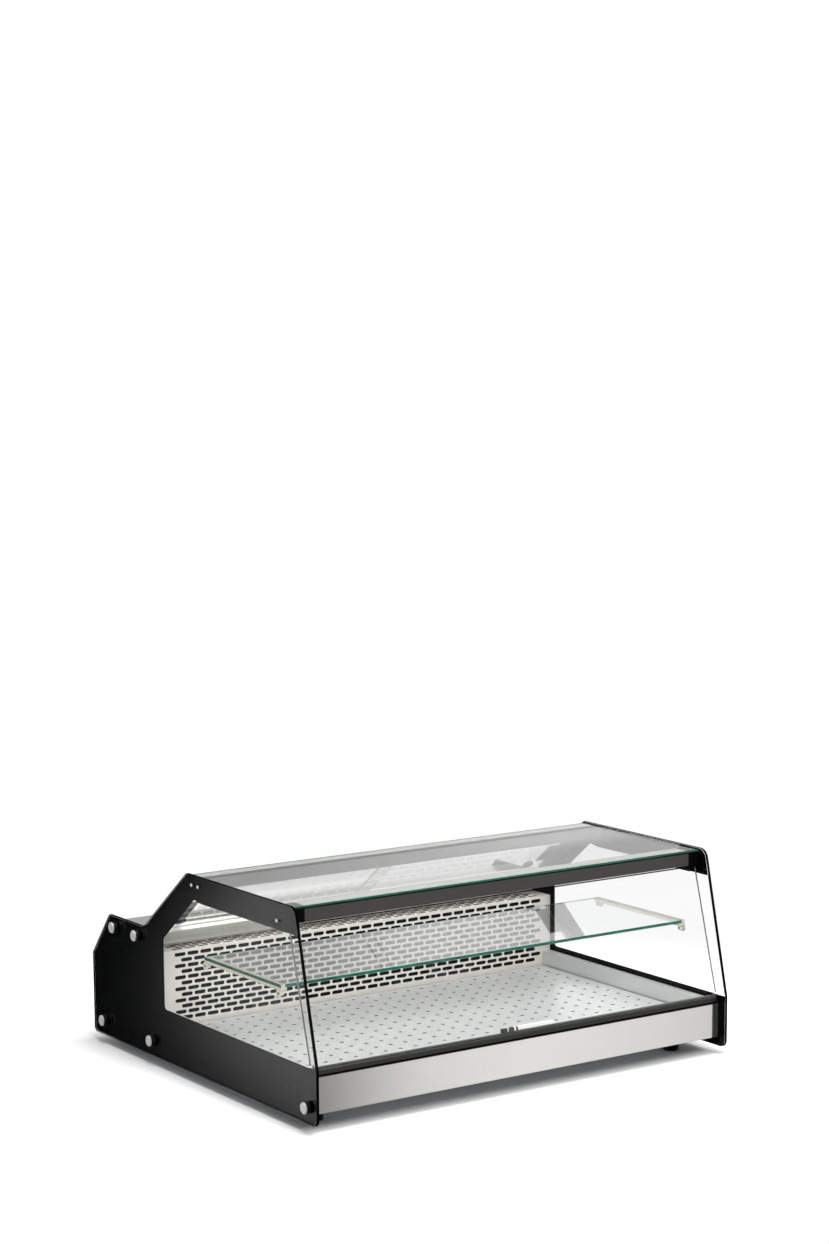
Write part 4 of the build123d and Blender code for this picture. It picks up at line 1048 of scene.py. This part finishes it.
# How much light comes from each way: x is to the right, y to the rear, z up
SURROUNDINGS = [
    ("raised", "SMOOTHSTEP", "z", 0.0, 0.14),
    ("fronted", "SMOOTHSTEP", "y", 0.1, -0.3),
    # Behind the case: how far a ray goes aside and up for each metre back
    ("aside", "ABSOLUTE", "x"),
    ("away", "MAXIMUM", "y", 0.05),
    ("side", "DIVIDE", "aside", "away"),
    ("lift", "DIVIDE", "z", "away"),
    # Low down is a black flag with a bulging rim, white on both sides and in the middle
    ("tall", "ADD", "lift", 0.2746),
    ("bulge", "MULTIPLY", "tall", "tall"),
    ("bulge", "MULTIPLY", "bulge", -9.88),
    ("bulge", "MAXIMUM", "bulge", -0.06),
    ("bulge", "ADD", "side", "bulge"),
    ("outer", "SMOOTHSTEP", "bulge", 0.5066, 0.5983),
    ("outer", "POWER", "outer", 2.28),
    ("outer", "LINEAR", "outer", 0.0, 1.0, 0.012, 0.78),
    ("edge", "SMOOTHSTEP", "side", 0.68, 0.75, 0.0, 0.21),
    ("outer", "ADD", "outer", "edge"),
    ("inner", "SMOOTHSTEP", "side", 0.25, 0.05, 0.0, 0.9),
    ("flag", "MAXIMUM", "outer", "inner"),
    # Above it is a white card, brighter towards its sides: a little low down, where the rear of
    # the top glass mirrors it
    ("strip", "LINEAR", "side", 0.6, 0.77, 0.54, 0.95),
    ("grow", "SMOOTHSTEP", "lift", 0.234, 0.241, "strip", 0.72),
    # and more so higher up, where it veils the far side of the shelf
    ("veil", "SMOOTHSTEP", "side", 0.6, 0.7, 0.6, 1.3),
    ("ebb", "SMOOTHSTEP", "lift", 0.25, 0.264, 1.0, "veil"),
    ("above", "MULTIPLY", "grow", "ebb"),
    ("back", "MIX", "raised", "flag", "above"),
    # In front: a white card low down, right of the camera, and little light above it
    ("near", "MULTIPLY", "y", -1.0),
    ("near", "MAXIMUM", "near", 0.05),
    ("turn", "DIVIDE", "x", "near"),
    ("rise", "SMOOTHSTEP", "turn", 0.62, 0.69, 0.1, 0.95),
    ("fall", "SMOOTHSTEP", "turn", 0.76, 0.98, 1.0, 0.5),
    ("card", "MULTIPLY", "rise", "fall"),
    ("front", "MIX", "raised", "card", 0.12),
    ("mirrored", "MIX", "fronted", "back", "front"),
    # Straight down it is dark: the sheet under the case mirrors only its own shadow
    ("below", "SMOOTHSTEP", "z", -0.5, -0.3, 0.3, 1.0),
    ("mirrored", "MULTIPLY", "mirrored", "below"),
    # What a pane mirrors stays dark when the ray goes on through another pane
    ("direct", "LESS_THAN", "mirrors", 0.5),
    ("through", "MULTIPLY", "transmitted", "direct"),
    ("seen", "MAXIMUM", "camera", "through"),
    ("mirror", "GREATER_THAN", "mirrors", 0.5),
    ("level", "MIX", "mirror", 0.32, "mirrored"),
    ("level", "MIX", "seen", "level", 1.0),
]


class CASE_OT_stage(bpy.types.Operator):
    """Set the floor, the lights, the surroundings and the camera"""

    bl_idname = "case.stage"
    bl_label = "Set the stage"

    def execute(self, context):
        scene = context.scene
        scene.view_settings.view_transform = "Standard"
        self.floor(scene)
        self.surroundings(scene)
        self.lamps(scene)
        self.camera(scene)
        return {"FINISHED"}

    def floor(self, scene):
        """A white sheet that keeps the case's shadow and fades into the white surroundings."""
        bm = bmesh.new()
        bmesh.ops.create_circle(bm, cap_ends=True, segments=64, radius=12.0)
        mesh = bpy.data.meshes.new("floor")
        bm.to_mesh(mesh)
        bm.free()
        finish = bpy.data.materials.new("white_paper_floor")
        finish.use_nodes = True
        tree = finish.node_tree
        tree.nodes.clear()
        coords = add(tree, "ShaderNodeTexCoord").outputs["Object"]
        distance = add(tree, "ShaderNodeVectorMath", {0: coords}, operation="LENGTH")
        known = wire(tree, {"distance": distance.outputs["Value"]}, FLOOR)
        # To the eye the paper is exposed a little past white, so that only the close shadow shows
        lit = add(tree, "ShaderNodeBsdfDiffuse", {"Color": (1.4, 1.4, 1.4, 1.0)})
        white = add(tree, "ShaderNodeEmission", {"Color": (1.0, 1.0, 1.0, 1.0), "Strength": 1.0})
        # What a pane mirrors is the dark room, not the paper
        gone = add(tree, "ShaderNodeBsdfTransparent")
        paper = add(tree, "ShaderNodeBsdfDiffuse", {"Color": (0.9, 0.9, 0.9, 1.0)})
        for share, other in (("seen", lit), ("far", white), ("mirror", gone)):
            mixed = {0: known[share], 1: paper.outputs[0], 2: other.outputs[0]}
            paper = add(tree, "ShaderNodeMixShader", mixed)
        add(tree, "ShaderNodeOutputMaterial", {"Surface": paper.outputs[0]})
        mesh.materials.append(finish)
        floor = bpy.data.objects.new("floor", mesh)
        floor.visible_glossy = False
        scene.collection.objects.link(floor)

    def surroundings(self, scene):
        """White to the eye and through glass; reflections meet a dark room with white cards."""
        world = bpy.data.worlds.new("studio")
        scene.world = world
        world.use_nodes = True
        tree = world.node_tree
        tree.nodes.clear()
        way = add(tree, "ShaderNodeTexCoord").outputs["Generated"]
        axes = add(tree, "ShaderNodeSeparateXYZ", {0: way}).outputs
        known = wire(tree, {"x": axes["X"], "y": axes["Y"], "z": axes["Z"]}, SURROUNDINGS)
        light = {"Color": (1.0, 1.0, 1.0, 1.0), "Strength": known["level"]}
        sky = add(tree, "ShaderNodeBackground", light)
        add(tree, "ShaderNodeOutputWorld", {"Surface": sky.outputs[0]})

    def lamps(self, scene):
        """Two large soft boxes: one overhead, one from the front."""
        aim = Vector((0, 0, 0.2))
        for name, place, size, power in (
            ("overhead_box", Vector((-0.1, -0.55, 2.8)), 2.0, 66.0),
            ("front_box", Vector((0.0, -2.6, 2.4)), 1.6, 38.0),
        ):
            lamp = bpy.data.lights.new(name, "AREA")
            lamp.size = size
            lamp.energy = power
            lamp_object = bpy.data.objects.new(name, lamp)
            lamp_object.location = place
            lamp_object.rotation_euler = (aim - place).to_track_quat("-Z", "Y").to_euler()
            scene.collection.objects.link(lamp_object)

    def camera(self, scene):
        """Camera of a catalogue picture: three-quarter view, a little above the top glass."""
        # Height of the picture, focal length and row of the optical axis, in pixels
        height, focal, axis = 1244.0, 2653.0, 760.0
        place = (-3.0294, -4.465, 1.4444)
        forward = Vector((0.55787, 0.81567, -0.15321)).normalized()
        roll = radians(-0.28)
        lens = bpy.data.cameras.new("catalogue_camera")
        lens.sensor_width = 36.0
        lens.lens = 36.0 * focal / height
        lens.shift_y = (axis - height / 2) / height
        right = forward.cross(Vector((0, 0, 1))).normalized()
        up = right.cross(forward)
        across = right * cos(roll) + up * sin(roll)
        over = up * cos(roll) - right * sin(roll)
        turn = Matrix((across, over, -forward)).transposed()
        camera = bpy.data.objects.new("catalogue_camera", lens)
        camera.matrix_world = Matrix.Translation(place) @ turn.to_4x4()
        scene.collection.objects.link(camera)
        scene.camera = camera


class CASE_PT_panel(bpy.types.Panel):
    """Lists the case's operators and settings"""

    bl_idname = "CASE_PT_panel"
    bl_label = "Display case"
    bl_space_type = "VIEW_3D"
    bl_region_type = "UI"
    bl_category = "Display case"

    def draw(self, context):
        for operator in OPERATORS:
            self.layout.operator(operator.bl_idname)
        for group in (context.scene.case_sizes, context.scene.case_colours):
            for name in group.__annotations__:
                self.layout.prop(group, name)


OPERATORS = (
    CASE_OT_finishes,
    CASE_OT_panel_print,
    CASE_OT_glass_edges,
    CASE_OT_gauze,
    CASE_OT_door_pulls,
    CASE_OT_panel_arris,
    CASE_OT_cut_edges,
    CASE_OT_beam_tape,
    CASE_OT_thermometer_bands,
    CASE_OT_pin_ends,
    CASE_OT_louvre_hoods,
    CASE_OT_fasteners,
    CASE_OT_control_marks,
    CASE_OT_stage,
)
CLASSES = (CaseSizes, CaseColours, *OPERATORS, CASE_PT_panel)


def register():
    """Register the classes and their settings."""
    for cls in CLASSES:
        bpy.utils.register_class(cls)
    bpy.types.Scene.case_sizes = bpy.props.PointerProperty(type=CaseSizes)
    bpy.types.Scene.case_colours = bpy.props.PointerProperty(type=CaseColours)


def unregister():
    """Remove the settings and the classes."""
    del bpy.types.Scene.case_colours
    del bpy.types.Scene.case_sizes
    for cls in reversed(CLASSES):
        bpy.utils.unregister_class(cls)


def main():
    register()
    bpy.ops.case.finishes()
    bpy.ops.case.panel_print()
    bpy.ops.case.glass_edges()
    bpy.ops.case.gauze()
    bpy.ops.case.door_pulls()
    bpy.ops.case.panel_arris()
    bpy.ops.case.cut_edges()
    bpy.ops.case.beam_tape()
    bpy.ops.case.thermometer_bands()
    bpy.ops.case.pin_ends()
    bpy.ops.case.louvre_hoods()
    bpy.ops.case.fasteners()
    bpy.ops.case.control_marks()
    bpy.ops.case.stage()


if __name__ == "__main__":
    main()
